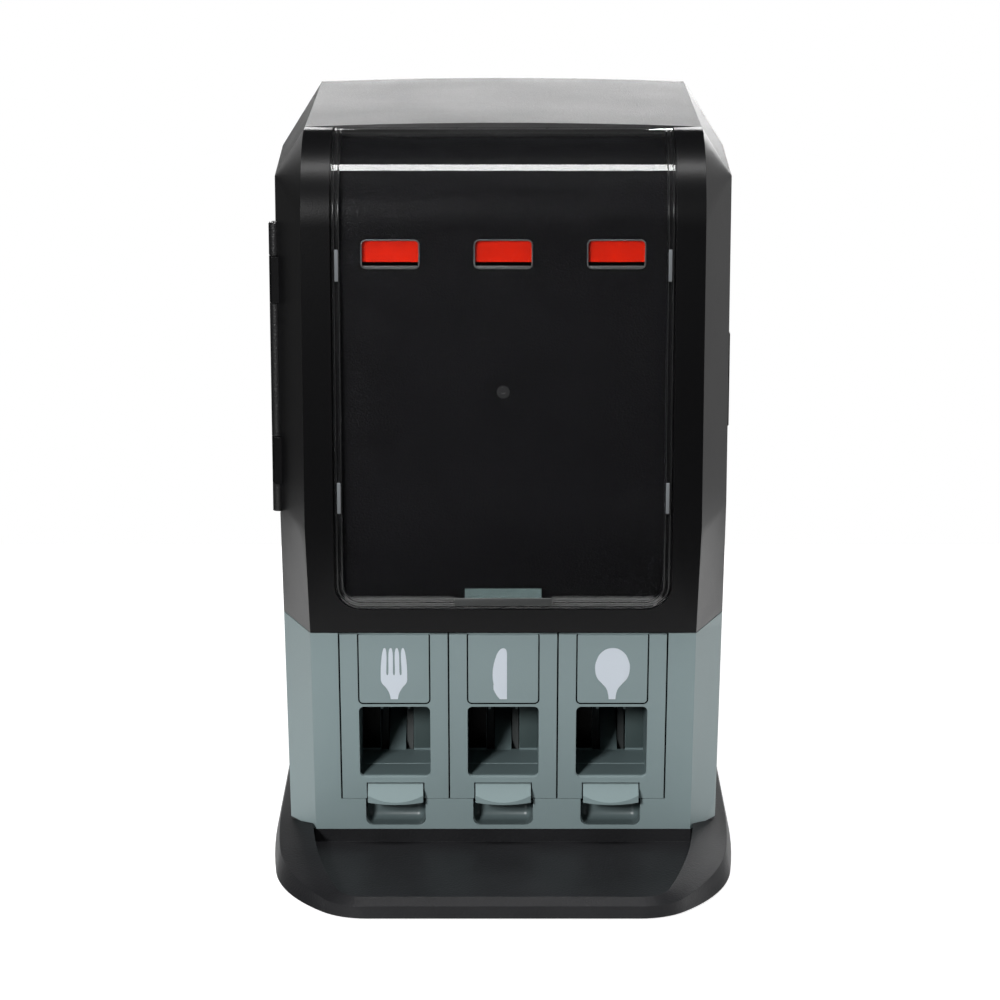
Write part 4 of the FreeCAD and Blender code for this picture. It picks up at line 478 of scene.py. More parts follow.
FINISHED_NODES = {
    Finish.BLACK_BASE: ("base_tray",),
    Finish.BLACK_GRAINED: ("rear_housing",),
    Finish.BLACK_FRAME: ("front_door", "latch_handle", "latch_catch"),
    Finish.BLACK_INNER: ("inner_panel", "flag_carrier", "chute"),
    Finish.GREY_GRAINED: ("lower_housing", "bay_front", "icon_plate"),
    Finish.GREY_SMOOTH: ("exit_tray",),
    Finish.GREY_DULL: ("panel_clip",),
    Finish.GREY_PAINTED_DEEP_SHADE: ("pusher",),
    Finish.LEVER_SATIN: ("lever",),
    Finish.FLAG_ORANGE: ("flag",),
    Finish.CLEAR_COVER: ("window_cover",),
    Finish.FOOT_RUBBER: ("rubber_feet",),
    Finish.BLACK_STEEL: ("panel_screw",),
    Finish.ZINC_STEEL: ("hinge_pin", "latch_pin", "latch_spring", "lever_axle", "return_spring", "flag_pins",
                        "base_screws", "joint_screws", "carrier_screws"),
}
NODE_FINISH = {name: finish for finish, names in FINISHED_NODES.items() for name in names}


def node_finish(name: str) -> Finish:
    """The finish of a CAD node, by its name or, in a lane, by its name without the lane."""
    return NODE_FINISH.get(name) or NODE_FINISH[name.rsplit("_", 1)[0]]


# ---- Modelling helpers ----

def clear_selection() -> None:
    """Leave nothing selected."""
    if bpy.context.object and bpy.context.object.mode != "OBJECT":
        bpy.ops.object.mode_set(mode="OBJECT")
    bpy.ops.object.select_all(action="DESELECT")


def take(piece: Piece) -> None:
    """Select one object alone and make it active.

    Args:
        piece: the object.
    """
    clear_selection()
    piece.select_set(True)
    bpy.context.view_layer.objects.active = piece


def settle(piece: Piece) -> Piece:
    """Put an object's place, turn and scale into its mesh.

    Args:
        piece: the object.

    Returns:
        The object.
    """
    take(piece)
    bpy.ops.object.transform_apply(location=True, rotation=True, scale=True)
    return piece


def spread(model: Piece, places: dict[str, Place]) -> list[Piece]:
    """Put copies of a model in its stead, each with a mesh of its own.

    Args:
        model: the piece to copy, which is removed.
        places: name of each copy and how far it moves along each axis.

    Returns:
        The copies.
    """
    copies = []
    for name, place in places.items():
        made = model.copy()
        made.data = model.data.copy()
        made.name = name
        made.location = place
        bpy.context.scene.collection.objects.link(made)
        copies.append(settle(made))
    bpy.data.objects.remove(model)
    return copies


def spread_lanes(model: Piece) -> list[Piece]:
    """Copy a model of the centre lane into every lane and add the lane to its name."""
    return spread(model, {"%s_%s" % (model.name, lane): (middle, 0.0, 0.0) for lane, middle in LANES.items()})


def modify(piece: Piece, kind: str, **values: object) -> None:
    """Add a modifier, set it and apply it.

    Args:
        piece: the object.
        kind: modifier type.
        **values: the modifier's settings.
    """
    take(piece)
    modifier = piece.modifiers.new(kind.lower(), kind)
    for name, value in values.items():
        setattr(modifier, name, value)
    bpy.ops.object.modifier_apply(modifier=modifier.name)


def pick_faces(piece: Piece, wanted: Callable[[Vector], bool]) -> None:
    """Enter edit mode with only some faces selected.

    Args:
        piece: the object.
        wanted: tells by a face's normal whether it is selected.
    """
    take(piece)
    bpy.ops.object.mode_set(mode="EDIT")
    bpy.ops.mesh.select_mode(type="FACE")
    bpy.ops.mesh.select_all(action="DESELECT")
    bpy.ops.object.mode_set(mode="OBJECT")
    for face in piece.data.polygons:
        face.select = wanted(face.normal)
    bpy.ops.object.mode_set(mode="EDIT")


def paint(piece: Piece, material: Material) -> None:
    """Give an object one material."""
    piece.data.materials.clear()
    piece.data.materials.append(material)


def mesh_volume(piece: Piece) -> float:
    """Measure what a mesh encloses.

    Args:
        piece: the object.

    Returns:
        Its volume in cubic metres.
    """
    work = bmesh.new()
    work.from_mesh(piece.data)
    volume = work.calc_volume(signed=True)
    work.free()
    return volume


def mirrored_points(points: list[Vector]) -> list[Vector]:
    """The points on the other side of the object, in the opposite order."""
    return [Vector((-point.x, point.y, point.z)) for point in reversed(points)]


class Workshop:
    """Makes and dresses pieces and attaches them to their bodies."""

    bead_resolution: int = 2
    bar_facets: int = 3
    widest_round: float = 0.45

    def __init__(self, frame: dict) -> None:
        """Keep the frame and build the finishes.
        """
        self.nodes = frame["nodes"]
        groups = {"mould_grain": mould_grain(), "brushed_metal": brushed_metal()}
        self.materials = {finish: finish.value.build(finish.name.lower(), groups) for finish in Finish}

    def finish_piece(self, piece: Piece, body: str, finish: Finish, slot: Slot,
                     smooth: float = SMOOTH_PLAIN) -> None:
        """Dress a new piece and let it ride on a body.

        Args:
            piece: the object.
            body: name of the body that it rides on.
            finish: its finish.
            slot: the record's slot of that finish; not used.
            smooth: edges flatter than this angle, in degrees, are shaded smooth.
        """
        take(piece)
        bpy.ops.object.shade_smooth_by_angle(angle=math.radians(smooth))
        paint(piece, self.materials[finish])
        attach(piece, body)
        LOG.info("piece %s rides on %s", piece.name, body)

    def dress_nodes(self) -> None:
        """Give every carried-over node its finish."""
        for name, node in self.nodes.items():
            paint(node, self.materials[node_finish(name)])

    def soften(self, name: str, body: str, slot: Slot, width: float, segments: int = 2,
               angle: float = 25.0) -> None:
        """Make a copy of a node with rounded edges that stands for it, unless rounding spoils its shape.

        Args:
            name: the node.
            body: the body that it belongs to.
            slot: the record's slot of its finish; not used.
            width: width of the rounding, in metres.
            segments: facets across the rounding.
            angle: edges sharper than this, in degrees, are rounded.
        """
        source = self.nodes[name]
        piece = bpy.data.objects.new(name + "_shaped", source.data.copy())
        bpy.context.scene.collection.objects.link(piece)
        piece.matrix_world = source.matrix_world
        take(piece)
        bpy.ops.object.mode_set(mode="EDIT")
        bpy.ops.mesh.select_all(action="SELECT")
        bpy.ops.mesh.remove_doubles(threshold=MERGE_DISTANCE)
        bpy.ops.mesh.dissolve_limited(angle_limit=math.radians(FLAT_ANGLE))
        bpy.ops.object.mode_set(mode="OBJECT")
        before = mesh_volume(piece)
        modify(piece, "BEVEL", width=width, segments=segments, limit_method="ANGLE",
               angle_limit=math.radians(angle), use_clamp_overlap=True)
        share = mesh_volume(piece) / before
        if not VOLUME_KEPT[0] < share < VOLUME_KEPT[1]:
            LOG.info("node %s keeps its plain edges (%.3f)", name, share)
            bpy.data.objects.remove(piece)
            return
        self.finish_piece(piece, body, node_finish(name), slot, SMOOTH_SHAPED)
        modify(piece, "WEIGHTED_NORMAL", keep_sharp=True, weight=FLAT_WEIGHT)
        LOG.info("node %s has edges rounded by %.2f mm", name, width / MM)
        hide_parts(name)

    def tube(self, name: str, path: list[Vector], radius: float, closed: bool = False) -> Piece:
        """Draw a thin bead along a path.

        Args:
            name: name of the piece.
            path: its centre line.
            radius: radius of the bead.
            closed: whether the path comes back to its start.

        Returns:
            The piece, as a mesh.
        """
        clear_selection()
        bpy.ops.curve.primitive_nurbs_path_add()
        drawing = bpy.context.object
        drawing.name = name
        curve = drawing.data
        curve.bevel_depth = radius
        curve.bevel_resolution = self.bead_resolution
        curve.splines.clear()
        spline = curve.splines.new("POLY")
        spline.points.add(len(path) - 1)
        for point, place in zip(spline.points, path):
            point.co = (*place, 1.0)
        spline.use_cyclic_u = closed
        take(drawing)
        bpy.ops.object.convert(target="MESH")
        return bpy.context.object

    def bar(self, name: str, place: Place, size: Place, round_off: float) -> Piece:
        """Make a small bar with rounded edges.

        Args:
            name: name of the piece.
            place: its middle.
            size: its size along each axis.
            round_off: width of the rounding, at most widest_round of the thinnest side.

        Returns:
            The piece.
        """
        clear_selection()
        bpy.ops.mesh.primitive_cube_add(size=1.0, location=place)
        piece = bpy.context.object
        piece.name = name
        piece.scale = size
        settle(piece)
        modify(piece, "BEVEL", width=min(round_off, self.widest_round * min(size)),
               segments=self.bar_facets, limit_method="NONE")
        return piece

    def join(self, name: str, parts: list[Piece]) -> Piece:
        """Join several meshes.

        Args:
            name: name of the joined piece.
            parts: the meshes.

        Returns:
            The joined piece.
        """
        take(parts[0])
        for part in parts[1:]:
            part.select_set(True)
        bpy.ops.object.join()
        piece = bpy.context.object
        piece.name = name
        return piece


# ---- Sub-assemblies ----

@dataclass
class Shells:
    """The large mouldings, with the rounded edges of their moulds."""

    shop: Workshop
    edge: float = 0.0009
    crest: float = 0.0013
    crest_facets: int = 3
    crest_angle: float = 14.0
    fine: float = 0.0005
    panel_angle: float = 40.0

    def build(self) -> None:
        """Round the edges of the housings, the door, the base and the pieces set into them."""
        self.shop.soften("rear_housing", ROOT, Slot.SHELL, self.edge)
        self.shop.soften("lower_housing", ROOT, Slot.GREY, self.edge)
        self.shop.soften("front_door", DOOR, Slot.SHELL, self.edge)
        self.shop.soften("base_tray", ROOT, Slot.BASE, self.crest, self.crest_facets, self.crest_angle)
        self.shop.soften("inner_panel", DOOR, Slot.INNER, self.fine, angle=self.panel_angle)
        self.shop.soften("latch_handle", "latch", Slot.SHELL, self.edge)
        for lane in LANES:
            for stem, body, slot in (("bay_front_", ROOT, Slot.GREY), ("icon_plate_", ROOT, Slot.GREY),
                                     ("exit_tray_", ROOT, Slot.GREY_INNER),
                                     ("lever_", "lever_%s_body" % lane, Slot.LEVER),
                                     ("flag_", "flag_%s_body" % lane, Slot.FLAG)):
                self.shop.soften(stem + lane, body, slot, self.fine)


@dataclass
class Profile:
    """Side view of the door's window: straight up the face, rounded over to the top; in metres."""

    face_y: float = -0.1107
    top: float = 0.4856
    back_y: float = -0.0452
    bend: float = 0.0550
    steps: int = 10

    def line(self, across: float, low: float, inset: float) -> list[Vector]:
        """Points from the rear of the top, over the bend and down to a height.

        Args:
            across: place across the door.
            low: height of the last point.
            inset: distance behind the door's surface.

        Returns:
            The points.
        """
        face, top, bend = self.face_y + inset, self.top - inset, self.bend - inset
        points = [Vector((across, self.back_y, top))]
        for index in range(self.steps + 1):
            turn = math.radians(90.0 * index / self.steps)
            depth, height = face + bend * (1 - math.sin(turn)), top - bend * (1 - math.cos(turn))
            points.append(Vector((across, depth, height)))
        points.append(Vector((across, face, FOLD_Z)))
        points.append(Vector((across, self.depth(low, inset), low)))
        return points

    def depth(self, height: float, inset: float) -> float:
        """Depth of the face at a height."""
        return self.face_y + inset + max(0.0, FOLD_Z - height) * math.tan(math.radians(FACE_LEAN))


@dataclass
class Window:
    """Raised border, hooks and grips of the clear cover, and the trims of the flag slots behind it, whose
    grey is painted highlight.
    """

    shop: Workshop
    profile: Profile
    half: float = 0.1090
    low: float = 0.1775
    corner: float = 0.0165
    set_back: float = 0.0004
    border: tuple[float, ...] = (0.0012, 0.0043)
    bead: float = 0.00042
    nudge: float = 0.0001
    hook_inset: float = 0.0030
    hook_heights: Spots = (("upper", 0.4060), ("lower", 0.2540))
    hook_size: Place = (0.0024, 0.0010, 0.0205)
    hook_round: float = 0.0006
    rest_z: float = 0.1822
    rest_size: Place = (0.0640, 0.0011, 0.0052)
    rest_round: float = 0.0008
    rib_y: float = -0.0485
    rib_places: Spots = (("left", -0.0300), ("right", 0.0282))
    rib_size: Place = (0.0012, 0.0040, 0.0009)
    rib_round: float = 0.0004
    slot_half: float = 0.0184
    slot_low: float = 0.4034
    slot_high: float = 0.4215
    slot_round: float = 0.0030
    slot_steps: int = 3
    slot_bead: float = 0.00045
    panel_y: float = -0.1044
    sill_place: Place = (0.0, -0.1040, 0.4042)
    sill_size: Place = (0.0344, 0.0018, 0.0014)
    sill_round: float = 0.0005

    def border_path(self, inward: float) -> list[Vector]:
        """Path round the window: down one side, along the foot and up again.

        Args:
            inward: distance inside the window's edge.

        Returns:
            The points.
        """
        half, low, corner = self.half - inward, self.low + inward, self.corner - inward
        right = self.profile.line(half, low + corner, self.set_back)
        for index in range(1, self.profile.steps + 1):
            turn = math.radians(90.0 * index / self.profile.steps)
            height = low + corner * (1 - math.sin(turn))
            depth = self.profile.depth(height, self.set_back)
            right.append(Vector((half - corner * (1 - math.cos(turn)), depth, height)))
        return right + mirrored_points(right)

    def slot_path(self) -> list[Vector]:
        """Path round the flag slot of the centre lane.

        Returns:
            The points, without the first one again at the end.
        """
        points = []
        for corner, (side, end) in enumerate(((1, 1), (-1, 1), (-1, -1), (1, -1))):
            height = self.slot_high if end > 0 else self.slot_low
            centre = Vector((side * (self.slot_half - self.slot_round), self.panel_y,
                             height - end * self.slot_round))
            for index in range(self.slot_steps + 1):
                turn = math.radians(90.0 * corner + 90.0 * index / self.slot_steps)
                points.append(centre + Vector((math.cos(turn), 0.0, math.sin(turn))) * self.slot_round)
        return points

    def lay_border(self) -> None:
        """Lay the two beads of the border."""
        rims = [self.shop.tube("window_bead", self.border_path(inward), self.bead) for inward in self.border]
        border = self.shop.join("window_border", rims)
        self.shop.finish_piece(border, DOOR, Finish.BLACK_GLOSS, Slot.SHELL, SMOOTH_BEAD)

    def set_hooks(self) -> None:
        """Set two hooks on each side; both rows are above the fold, so they stand at one depth."""
        depth = self.profile.depth(FOLD_Z, self.set_back) - self.nudge
        model = self.shop.bar("window_hook", (0.0, depth, 0.0), self.hook_size, self.hook_round)
        across = self.half - self.hook_inset
        for hook in spread(model, {"window_hook_%s_%s" % (row, side): (sign * across, 0.0, height)
                                   for side, sign in (("left", -1), ("right", 1))
                                   for row, height in self.hook_heights}):
            self.shop.finish_piece(hook, DOOR, Finish.HOOK_CLEAR, Slot.WINDOW)

    def set_grips(self) -> None:
        """Set the thumb rest at the foot of the window and the two ribs on its top."""
        depth = self.profile.depth(self.rest_z, 0.0) + self.nudge
        rest = self.shop.bar("window_thumb_rest", (0.0, depth, self.rest_z), self.rest_size, self.rest_round)
        self.shop.finish_piece(rest, DOOR, Finish.TRIM_GREY, Slot.SHELL)
        top = self.profile.top - self.set_back
        model = self.shop.bar("window_tab_rib", (0.0, self.rib_y, top), self.rib_size, self.rib_round)
        for rib in spread(model, {"window_tab_rib_" + side: (across, 0.0, 0.0)
                                  for side, across in self.rib_places}):
            self.shop.finish_piece(rib, DOOR, Finish.BLACK_GLOSS, Slot.SHELL)

    def trim_slots(self) -> None:
        """Lay a bead round each flag slot and a sill at its foot; their shape is real, and their grey paints
        the light that the slot's black bevelled edge and ledge catch.
        """
        trim = self.shop.tube("slot_trim", self.slot_path(), self.slot_bead, True)
        sill = self.shop.bar("slot_sill", self.sill_place, self.sill_size, self.sill_round)
        for piece in spread_lanes(self.shop.join("flag_slot_trim", [trim, sill])):
            self.shop.finish_piece(piece, DOOR, Finish.TRIM_GREY, Slot.INNER, SMOOTH_BEAD)

    def build(self) -> None:
        """Make the trims."""
        self.lay_border()
        self.set_hooks()
        self.set_grips()
        self.trim_slots()


@dataclass
class Face:
    """Leaning front of the lower housing; in metres."""

    fold_y: float = -0.1095

    def depth(self, height: float) -> float:
        """Depth of the front at a height."""
        return self.fold_y + (FOLD_Z - height) * math.tan(math.radians(FACE_LEAN))

    def point(self, across: float, height: float, sunk: float) -> Vector:
        """A point sunk behind the front."""
        return Vector((across, self.depth(height) + sunk, height))


@dataclass
class PaintedSeamShade:
    """Dark beads deep in the seams beside the bay fronts and round the icon plates: painted shade of the
    grooves.
    """

    shop: Workshop
    face: Face
    low: float = 0.0384
    belt: float = 0.1585
    plate_half: float = 0.02352
    plate_low: float = 0.10848
    plate_round: float = 0.0029
    bead: float = 0.00064
    sunk: float = 0.00046
    steps: int = 5

    def plate_path(self) -> list[Vector]:
        """Path down one side of the centre lane's icon plate, round its foot and up the other side.

        Returns:
            The points.
        """
        half, low, corner = self.plate_half, self.plate_low, self.plate_round
        side = [self.face.point(half, self.belt, self.sunk)]
        for index in range(self.steps + 1):
            turn = math.radians(90.0 * index / self.steps)
            across, height = half - corner * (1 - math.cos(turn)), low + corner * (1 - math.sin(turn))
            side.append(self.face.point(across, height, self.sunk))
        return side + mirrored_points(side)

    def build(self) -> None:
        """Lay the painted-shade beads: one on each side of a lane, joined, and one round each plate."""
        line = [self.face.point(0.0, height, self.sunk) for height in (self.belt, self.low)]
        edges = {"seam_%d" % index: ((index - len(LANES) / 2) * LANE_PITCH, 0.0, 0.0)
                 for index in range(len(LANES) + 1)}
        seams = self.shop.join("bay_seam_shade", spread(self.shop.tube("seam", line, self.bead), edges))
        plate_seams = spread_lanes(self.shop.tube("icon_plate_seam", self.plate_path(), self.bead))
        for piece in (seams, *plate_seams):
            self.shop.finish_piece(piece, ROOT, Finish.SEAM_BLACK, Slot.INNER, SMOOTH_BEAD)


@dataclass
class Scoops:
    """Smooth bowls that line the foot of the finger scoops; their shape is real, and their grey, darker than
    the housing's, is painted shade of the recess.
    """

    shop: Workshop
    face: Face
    half: float = 0.01990
    low: float = 0.01810
    high: float = 0.02990
    reach: float = 0.0137
    set_back: float = 0.0001
    cove: float = 0.0058
    cove_facets: int = 7
    wall: float = 0.0004
    facing: float = 0.9

    def bowl(self) -> Piece:
        """Shape the centre lane's bowl, open at its front and top.

        Returns:
            The bowl.
        """
        clear_selection()
        depth = self.face.depth(self.low) + self.set_back + self.reach / 2
        bpy.ops.mesh.primitive_cube_add(size=1.0, location=(0.0, depth, (self.low + self.high) / 2))
        bowl = bpy.context.object
        bowl.name = "scoop_bowl"
        bowl.scale = (2 * self.half, self.reach, self.high - self.low)
        settle(bowl)
        pick_faces(bowl, lambda normal: normal.y < -self.facing or normal.z > self.facing)
        bpy.ops.mesh.delete(type="FACE")
        bpy.ops.mesh.select_mode(type="EDGE")
        bpy.ops.mesh.select_all(action="SELECT")
        bpy.ops.mesh.region_to_loop()
        bpy.ops.mesh.select_all(action="INVERT")
        bpy.ops.mesh.bevel(offset=self.cove, segments=self.cove_facets)
        bpy.ops.object.mode_set(mode="OBJECT")
        modify(bowl, "SOLIDIFY", thickness=self.wall, offset=-1.0)
        return bowl

    def build(self) -> None:
        """Line each scoop."""
        for bowl in spread_lanes(self.bowl()):
            self.shop.finish_piece(bowl, ROOT, Finish.GREY_BOWL_PAINTED_SHADE, Slot.GREY, SMOOTH_SHAPED)


@dataclass
class Exits:
    """Front edge of the exit floors, and sheets on the walls behind them that paint their shade: black on the
    left, dull grey on the right.
    """

    shop: Workshop
    half: float = 0.0235
    gap: float = 0.0113
    wall_y: float = -0.02808
    low: float = 0.0585
    high: float = 0.1100
    thick: float = 0.0004
    plate_round: float = 0.0001
    sill_y: float = -0.0562
    sill_z: float = 0.05655
    bead: float = 0.00022

    def build(self) -> None:
        """Lay the painted-shade sheets in the three exits and edge their floors."""
        across, height = (self.half + self.gap) / 2, (self.low + self.high) / 2
        size = (self.half - self.gap, self.thick, self.high - self.low)
        # Painted shade: a black sheet where the left of each exit lies in shadow, a dull grey one where the
        # right is dimly lit.
        for name, side, finish in (("left", -1, Finish.BLACK_INNER), ("right", 1, Finish.GREY_DULL)):
            place = (side * across, self.wall_y - self.thick / 2, height)
            for plate in spread_lanes(self.shop.bar("exit_lining_" + name, place, size, self.plate_round)):
                self.shop.finish_piece(plate, ROOT, finish, Slot.GREY_INNER)
        edge = [Vector((side * self.half, self.sill_y, self.sill_z)) for side in (-1, 1)]
        for sill in spread_lanes(self.shop.tube("exit_sill", edge, self.bead)):
            self.shop.finish_piece(sill, ROOT, Finish.GREY_GRAINED, Slot.GREY_INNER, SMOOTH_BEAD)


@dataclass
class Pictogram:
    """A flat printed shape on an icon plate.

    Its knots are (across, up, round) in millimetres, measured on the plate from the fold above it; a line
    turns sharply at a knot that isn't round.
    """

    shop: Workshop
    name: str
    lane: str
    knots: list[Knot]
    face: Face
    film: float = 0.00012
    smoothness: int = 6

    def build(self) -> None:
        """Cut the outline out of a thin film and lay it on its plate."""
        clear_selection()
        bpy.ops.curve.primitive_bezier_circle_add()
        drawing = bpy.context.object
        drawing.name = self.name
        curve = drawing.data
        curve.dimensions = "2D"
        curve.fill_mode = "BOTH"
        curve.extrude = self.film / 2
        curve.resolution_u = self.smoothness
        curve.splines.clear()
        spline = curve.splines.new("BEZIER")
        spline.bezier_points.add(len(self.knots) - 1)
        for point, (across, up, is_round) in zip(spline.bezier_points, self.knots):
            point.co = (across * MM, up * MM, 0.0)
            point.handle_left_type = point.handle_right_type = "AUTO" if is_round else "VECTOR"
        spline.use_cyclic_u = True
        take(drawing)
        bpy.ops.object.convert(target="MESH")
        piece = bpy.context.object
        fold = Vector((LANES[self.lane], self.face.fold_y, FOLD_Z))
        slope = Matrix.Rotation(math.radians(90.0 + FACE_LEAN), 4, "X")
        piece.matrix_world = Matrix.Translation(fold + slope @ Vector((0.0, 0.0, self.film))) @ slope
        self.shop.finish_piece(settle(piece), ROOT, Finish.PALE_PRINT, Slot.GREY)


@dataclass
class Icons:
    """Fork, knife and spoon on the three icon plates."""

    shop: Workshop
    face: Face
    middle_up: float = -106.6
    half_tall: float = 18.85

    def mirrored(self, half: list[Knot]) -> list[Knot]:
        """Complete an outline from its right half, from the top down."""
        return half + [(-across, up, is_round) for across, up, is_round in reversed(half)]

    def fork(self) -> list[Knot]:
        """Draw a four-tine fork.

        Returns:
            Its outline.
        """
        tip, crotch = self.half_tall, -1.1
        inner = [(0.5, crotch + 0.5, True), (1.05, tip - 1.3, True), (2.0, tip, True),
                 (3.0, tip - 1.3, True), (3.85, crotch + 0.5, True), (4.4, crotch, True),
                 (4.9, crotch + 0.5, True)]
        outer = [(5.1, tip - 1.3, True), (6.05, tip, True), (7.0, tip - 1.3, True), (8.75, -2.6, True),
                 (8.3, -6.4, True), (5.2, -10.6, True), (3.1, -15.0, True),
                 (2.35, -self.half_tall, False)]
        return self.mirrored(inner + outer) + [(0.0, crotch, True)]

    def knife(self) -> list[Knot]:
        """Draw a knife's blade with a serrated edge, which bows outwards at its middle.

        Returns:
            Its outline.
        """
        back, edge, tooth, pitch, count = 2.5, -7.2, 0.45, 1.5, 15
        first, middle, bend = 12.6, -1.0, 0.013
        blade = [(back, -self.half_tall, False), (back, 15.4, False), (1.4, 18.2, True), (-0.6, 18.6, True),
                 (-2.6, 17.0, True), (-4.6, 13.4, False)]
        teeth = []
        for index in range(count):
            up = first - index * pitch
            across = edge + bend * (up - middle) ** 2
            teeth.append((across + tooth, up + pitch / 2, False))
            teeth.append((across, up, False))
        return blade + teeth + [(-6.4, -11.6, False), (-4.4, -15.8, True), (-2.2, -self.half_tall, False)]

    def spoon(self) -> list[Knot]:
        """Draw a spoon's bowl and neck.

        Returns:
            Its outline.
        """
        bowl = [(6.6, 16.3, True), (10.6, 9.6, True), (11.4, 3.3, True), (9.9, -3.2, True),
                (6.6, -7.4, True)]
        neck = [(4.0, -10.8, True), (2.7, -14.8, True), (2.25, -self.half_tall, False)]
        return self.mirrored(bowl + neck) + [(0.0, self.half_tall, True)]

    def build(self) -> None:
        """Lay the three pictograms."""
        outlines = (("fork", self.fork()), ("knife", self.knife()), ("spoon", self.spoon()))
        for lane, (name, knots) in zip(LANES, outlines):
            placed = [(across, up + self.middle_up, is_round) for across, up, is_round in knots]
            Pictogram(self.shop, "pictogram_" + name, lane, placed, self.face).build()


# ---- Studio ----

@dataclass
class Lamp:
    """A rectangular softbox, hung by its direction and distance from what it lights."""

    name: str
    azimuth: float
    elevation: float
    distance: float
    width: float
    height: float
    watts: float
    target: Place = (0.0, -0.09, 0.15)

    def build(self) -> None:
        """Hang the softbox; azimuth 0 is in front of the object and 90 on its right."""
        light = bpy.data.lights.new(self.name, "AREA")
        light.shape = "RECTANGLE"
        light.size = self.width
        light.size_y = self.height
        light.energy = self.watts
        lamp = bpy.data.objects.new(self.name, light)
        bpy.context.scene.collection.objects.link(lamp)
        turn, rise = math.radians(self.azimuth), math.radians(self.elevation)
        away = Vector((math.sin(turn) * math.cos(rise), -math.cos(turn) * math.cos(rise), math.sin(rise)))
        lamp.location = Vector(self.target) + away * self.distance
        lamp.rotation_euler = (-away).to_track_quat("-Z", "Y").to_euler()
        lamp.visible_camera = False
        lamp.visible_transmission = False


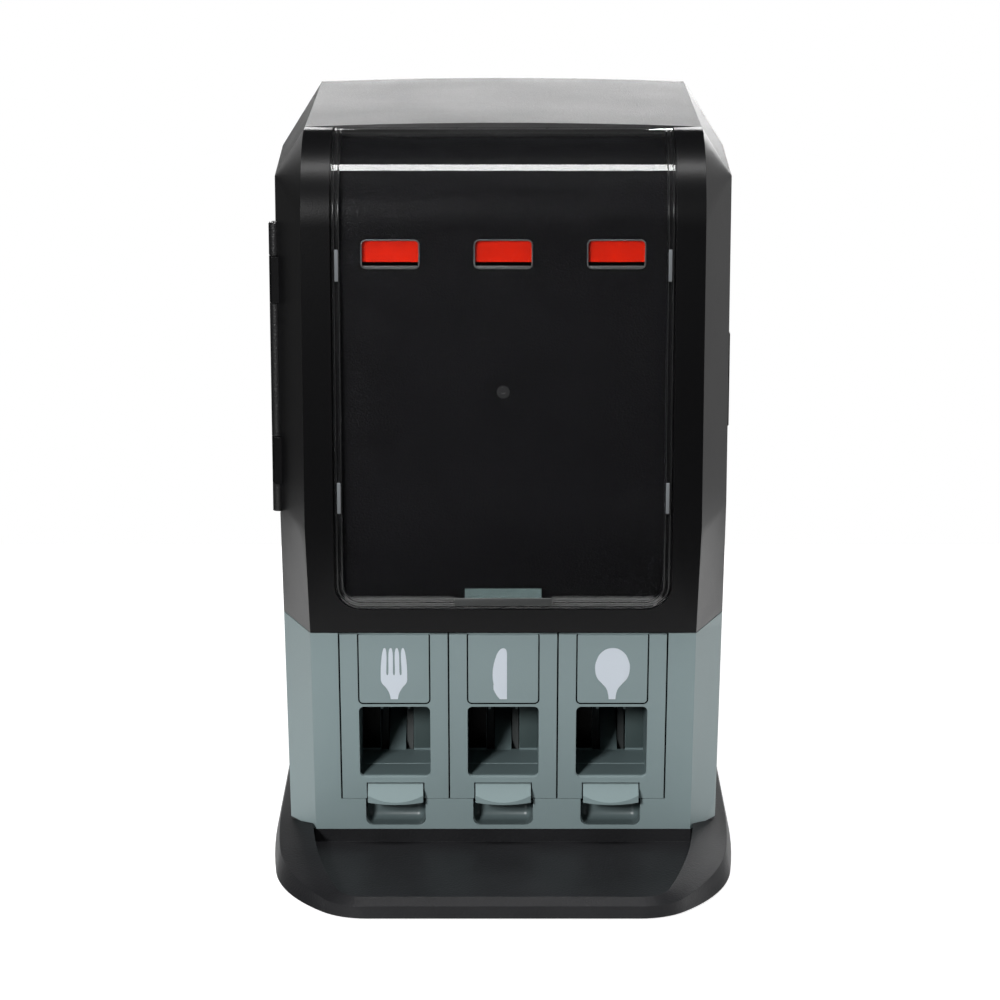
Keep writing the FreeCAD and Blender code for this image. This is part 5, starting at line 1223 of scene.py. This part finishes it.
@dataclass
class Studio:
    """Camera, softboxes, a pale floor and pale surroundings."""

    focal: float = 120.6
    sensor: float = 36.0
    reach: float = 50.0
    pitch: float = 13.9
    place: Place = (-0.0021, -2.2077, 0.772)
    floor_size: float = 1.1
    floor_back: float = 0.19
    floor_grey: float = 0.5
    floor_roughness: float = 0.9
    floor_glow: float = 0.80
    ambient: float = 0.06
    front_gloss: float = 0.015
    left_gloss: float = 0.015
    right_gloss: float = 0.90
    low_gloss: float = 0.10
    low_right_gloss: float = 0.45
    high_gloss: float = 0.03
    behind: Band = (0.70, 0.92)
    below: Band = (-0.04, 0.02)
    above: Band = (0.10, 0.17)
    beside: Band = (0.55, 0.95)
    right_of_middle: Band = (0.20, 0.45)
    lamps: tuple[Lamp, ...] = (
        Lamp("key_softbox", azimuth=-24.0, elevation=21.0, distance=2.2, width=0.34, height=0.34, watts=39.0),
        Lamp("right_softbox", azimuth=98.0, elevation=12.0, distance=2.2, width=1.7, height=2.0, watts=19.0),
        Lamp("top_softbox", azimuth=0.0, elevation=76.9, distance=1.7, width=1.6, height=0.24, watts=23.0),
        Lamp("rear_softbox", azimuth=173.5, elevation=4.6, distance=1.1, width=1.05, height=0.14, watts=5.6,
             target=(0.0, 0.05, 0.488)),
    )

    def camera(self) -> None:
        """Set the camera."""
        data = bpy.data.cameras.new("view_camera")
        data.lens = self.focal
        data.sensor_width = self.sensor
        data.clip_end = self.reach
        camera = bpy.data.objects.new("view_camera", data)
        bpy.context.scene.collection.objects.link(camera)
        camera.location = self.place
        camera.rotation_euler = (math.radians(90.0 - self.pitch), 0.0, 0.0)
        bpy.context.scene.camera = camera

    def background_mask(self, sheet: Sheet) -> Socket:
        """Tell the rays that see the pale background from those that carry light to a surface.

        Args:
            sheet: the node tree that needs the mask.

        Returns:
            A socket that is 1 for camera, glossy and transmitted rays which no dull surface has sent on.
        """
        path = sheet.node("ShaderNodeLightPath")
        seen = sheet.maths("MAXIMUM", path.outputs["Is Camera Ray"], path.outputs["Is Glossy Ray"])
        seen = sheet.maths("MAXIMUM", seen, path.outputs["Is Transmission Ray"])
        return sheet.maths("MULTIPLY", seen, sheet.maths("LESS_THAN", path.outputs["Diffuse Depth"], 0.5))

    def floor(self) -> None:
        """Lay a pale floor that keeps the object's shadow."""
        clear_selection()
        bpy.ops.mesh.primitive_plane_add(size=self.floor_size, location=(0.0, self.floor_back, 0.0))
        floor = settle(bpy.context.object)
        floor.name = "studio_floor"
        material, shader = shader_tree("studio_floor")
        sheet = Sheet(material.node_tree)
        set_inputs(shader, {"Base Color": (*[self.floor_grey] * 3, 1.0), "Roughness": self.floor_roughness,
                            "Specular IOR Level": 0.0})
        glow, both = sheet.node("ShaderNodeEmission"), sheet.node("ShaderNodeAddShader")
        set_inputs(glow, {"Strength": self.floor_glow})
        sheet.link(shader.outputs["BSDF"], both.inputs[0])
        sheet.link(glow.outputs["Emission"], both.inputs[1])
        mixed = sheet.mix(self.background_mask(sheet), shader.outputs["BSDF"], both.outputs["Shader"])
        sheet.link(mixed, material.node_tree.nodes["Material Output"].inputs["Surface"])
        paint(floor, material)

    def room(self, sheet: Sheet) -> Socket:
        """Say how bright the room is that polished surfaces reflect.

        It is dark but for the horizon behind the object, some of the ground at the right of that, and the
        right side.

        Args:
            sheet: the world's node tree.

        Returns:
            A socket with the brightness in each direction.
        """
        axes = sheet.node("ShaderNodeSeparateXYZ")
        sheet.link(sheet.node("ShaderNodeTexCoord").outputs["Generated"], axes.inputs[0])
        across, deep, high = axes.outputs["X"], axes.outputs["Y"], axes.outputs["Z"]
        horizon = sheet.maths("MULTIPLY", sheet.band(high, self.below, self.low_gloss, 1.0),
                              sheet.band(high, self.above, 1.0, self.high_gloss))
        ground = sheet.maths("MULTIPLY", sheet.band(across, self.right_of_middle, 0.0, self.low_right_gloss),
                             sheet.band(high, self.below, 1.0, 0.0))
        rear = sheet.maths("MULTIPLY", sheet.band(deep, self.behind, 0.0, 1.0),
                           sheet.maths("ADD", horizon, ground))
        right = sheet.band(across, self.beside, 0.0, self.right_gloss)
        left = sheet.band(across, (-self.beside[0], -self.beside[1]), 0.0, self.left_gloss)
        sides = sheet.maths("MAXIMUM", left, right)
        return sheet.maths("MAXIMUM", sheet.maths("MAXIMUM", self.front_gloss, rear), sides)

    def world(self) -> None:
        """Surround the object with white for the camera and with the room for what surfaces reflect."""
        world = bpy.data.worlds.new("studio_world")
        bpy.context.scene.world = world
        world.use_nodes = True
        sheet = Sheet(world.node_tree)
        soft, pale = world.node_tree.nodes["Background"], sheet.node("ShaderNodeBackground")
        set_inputs(soft, {"Color": WHITE, "Strength": self.ambient})
        set_inputs(pale, {"Color": WHITE})
        seen = sheet.node("ShaderNodeLightPath").outputs["Is Camera Ray"]
        sheet.link(sheet.maths("MAXIMUM", self.room(sheet), seen), pale.inputs["Strength"])
        mask = self.background_mask(sheet)
        mixed = sheet.mix(mask, soft.outputs["Background"], pale.outputs["Background"])
        sheet.link(mixed, world.node_tree.nodes["World Output"].inputs["Surface"])

    def build(self) -> None:
        """Build the studio."""
        self.camera()
        self.floor()
        self.world()
        for lamp in self.lamps:
            lamp.build()
        bpy.context.scene.view_settings.view_transform = "Standard"


def main() -> None:
    """Build the scene around the frame."""
    logging.basicConfig(level=logging.INFO, format="%(message)s")
    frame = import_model()
    shop = Workshop(frame)
    shop.dress_nodes()
    face = Face()
    for assembly in (Studio(), Shells(shop), Window(shop, Profile()), PaintedSeamShade(shop, face), Scoops(shop, face),
                     Exits(shop), Icons(shop, face)):
        assembly.build()


if __name__ == "__main__":
    main()
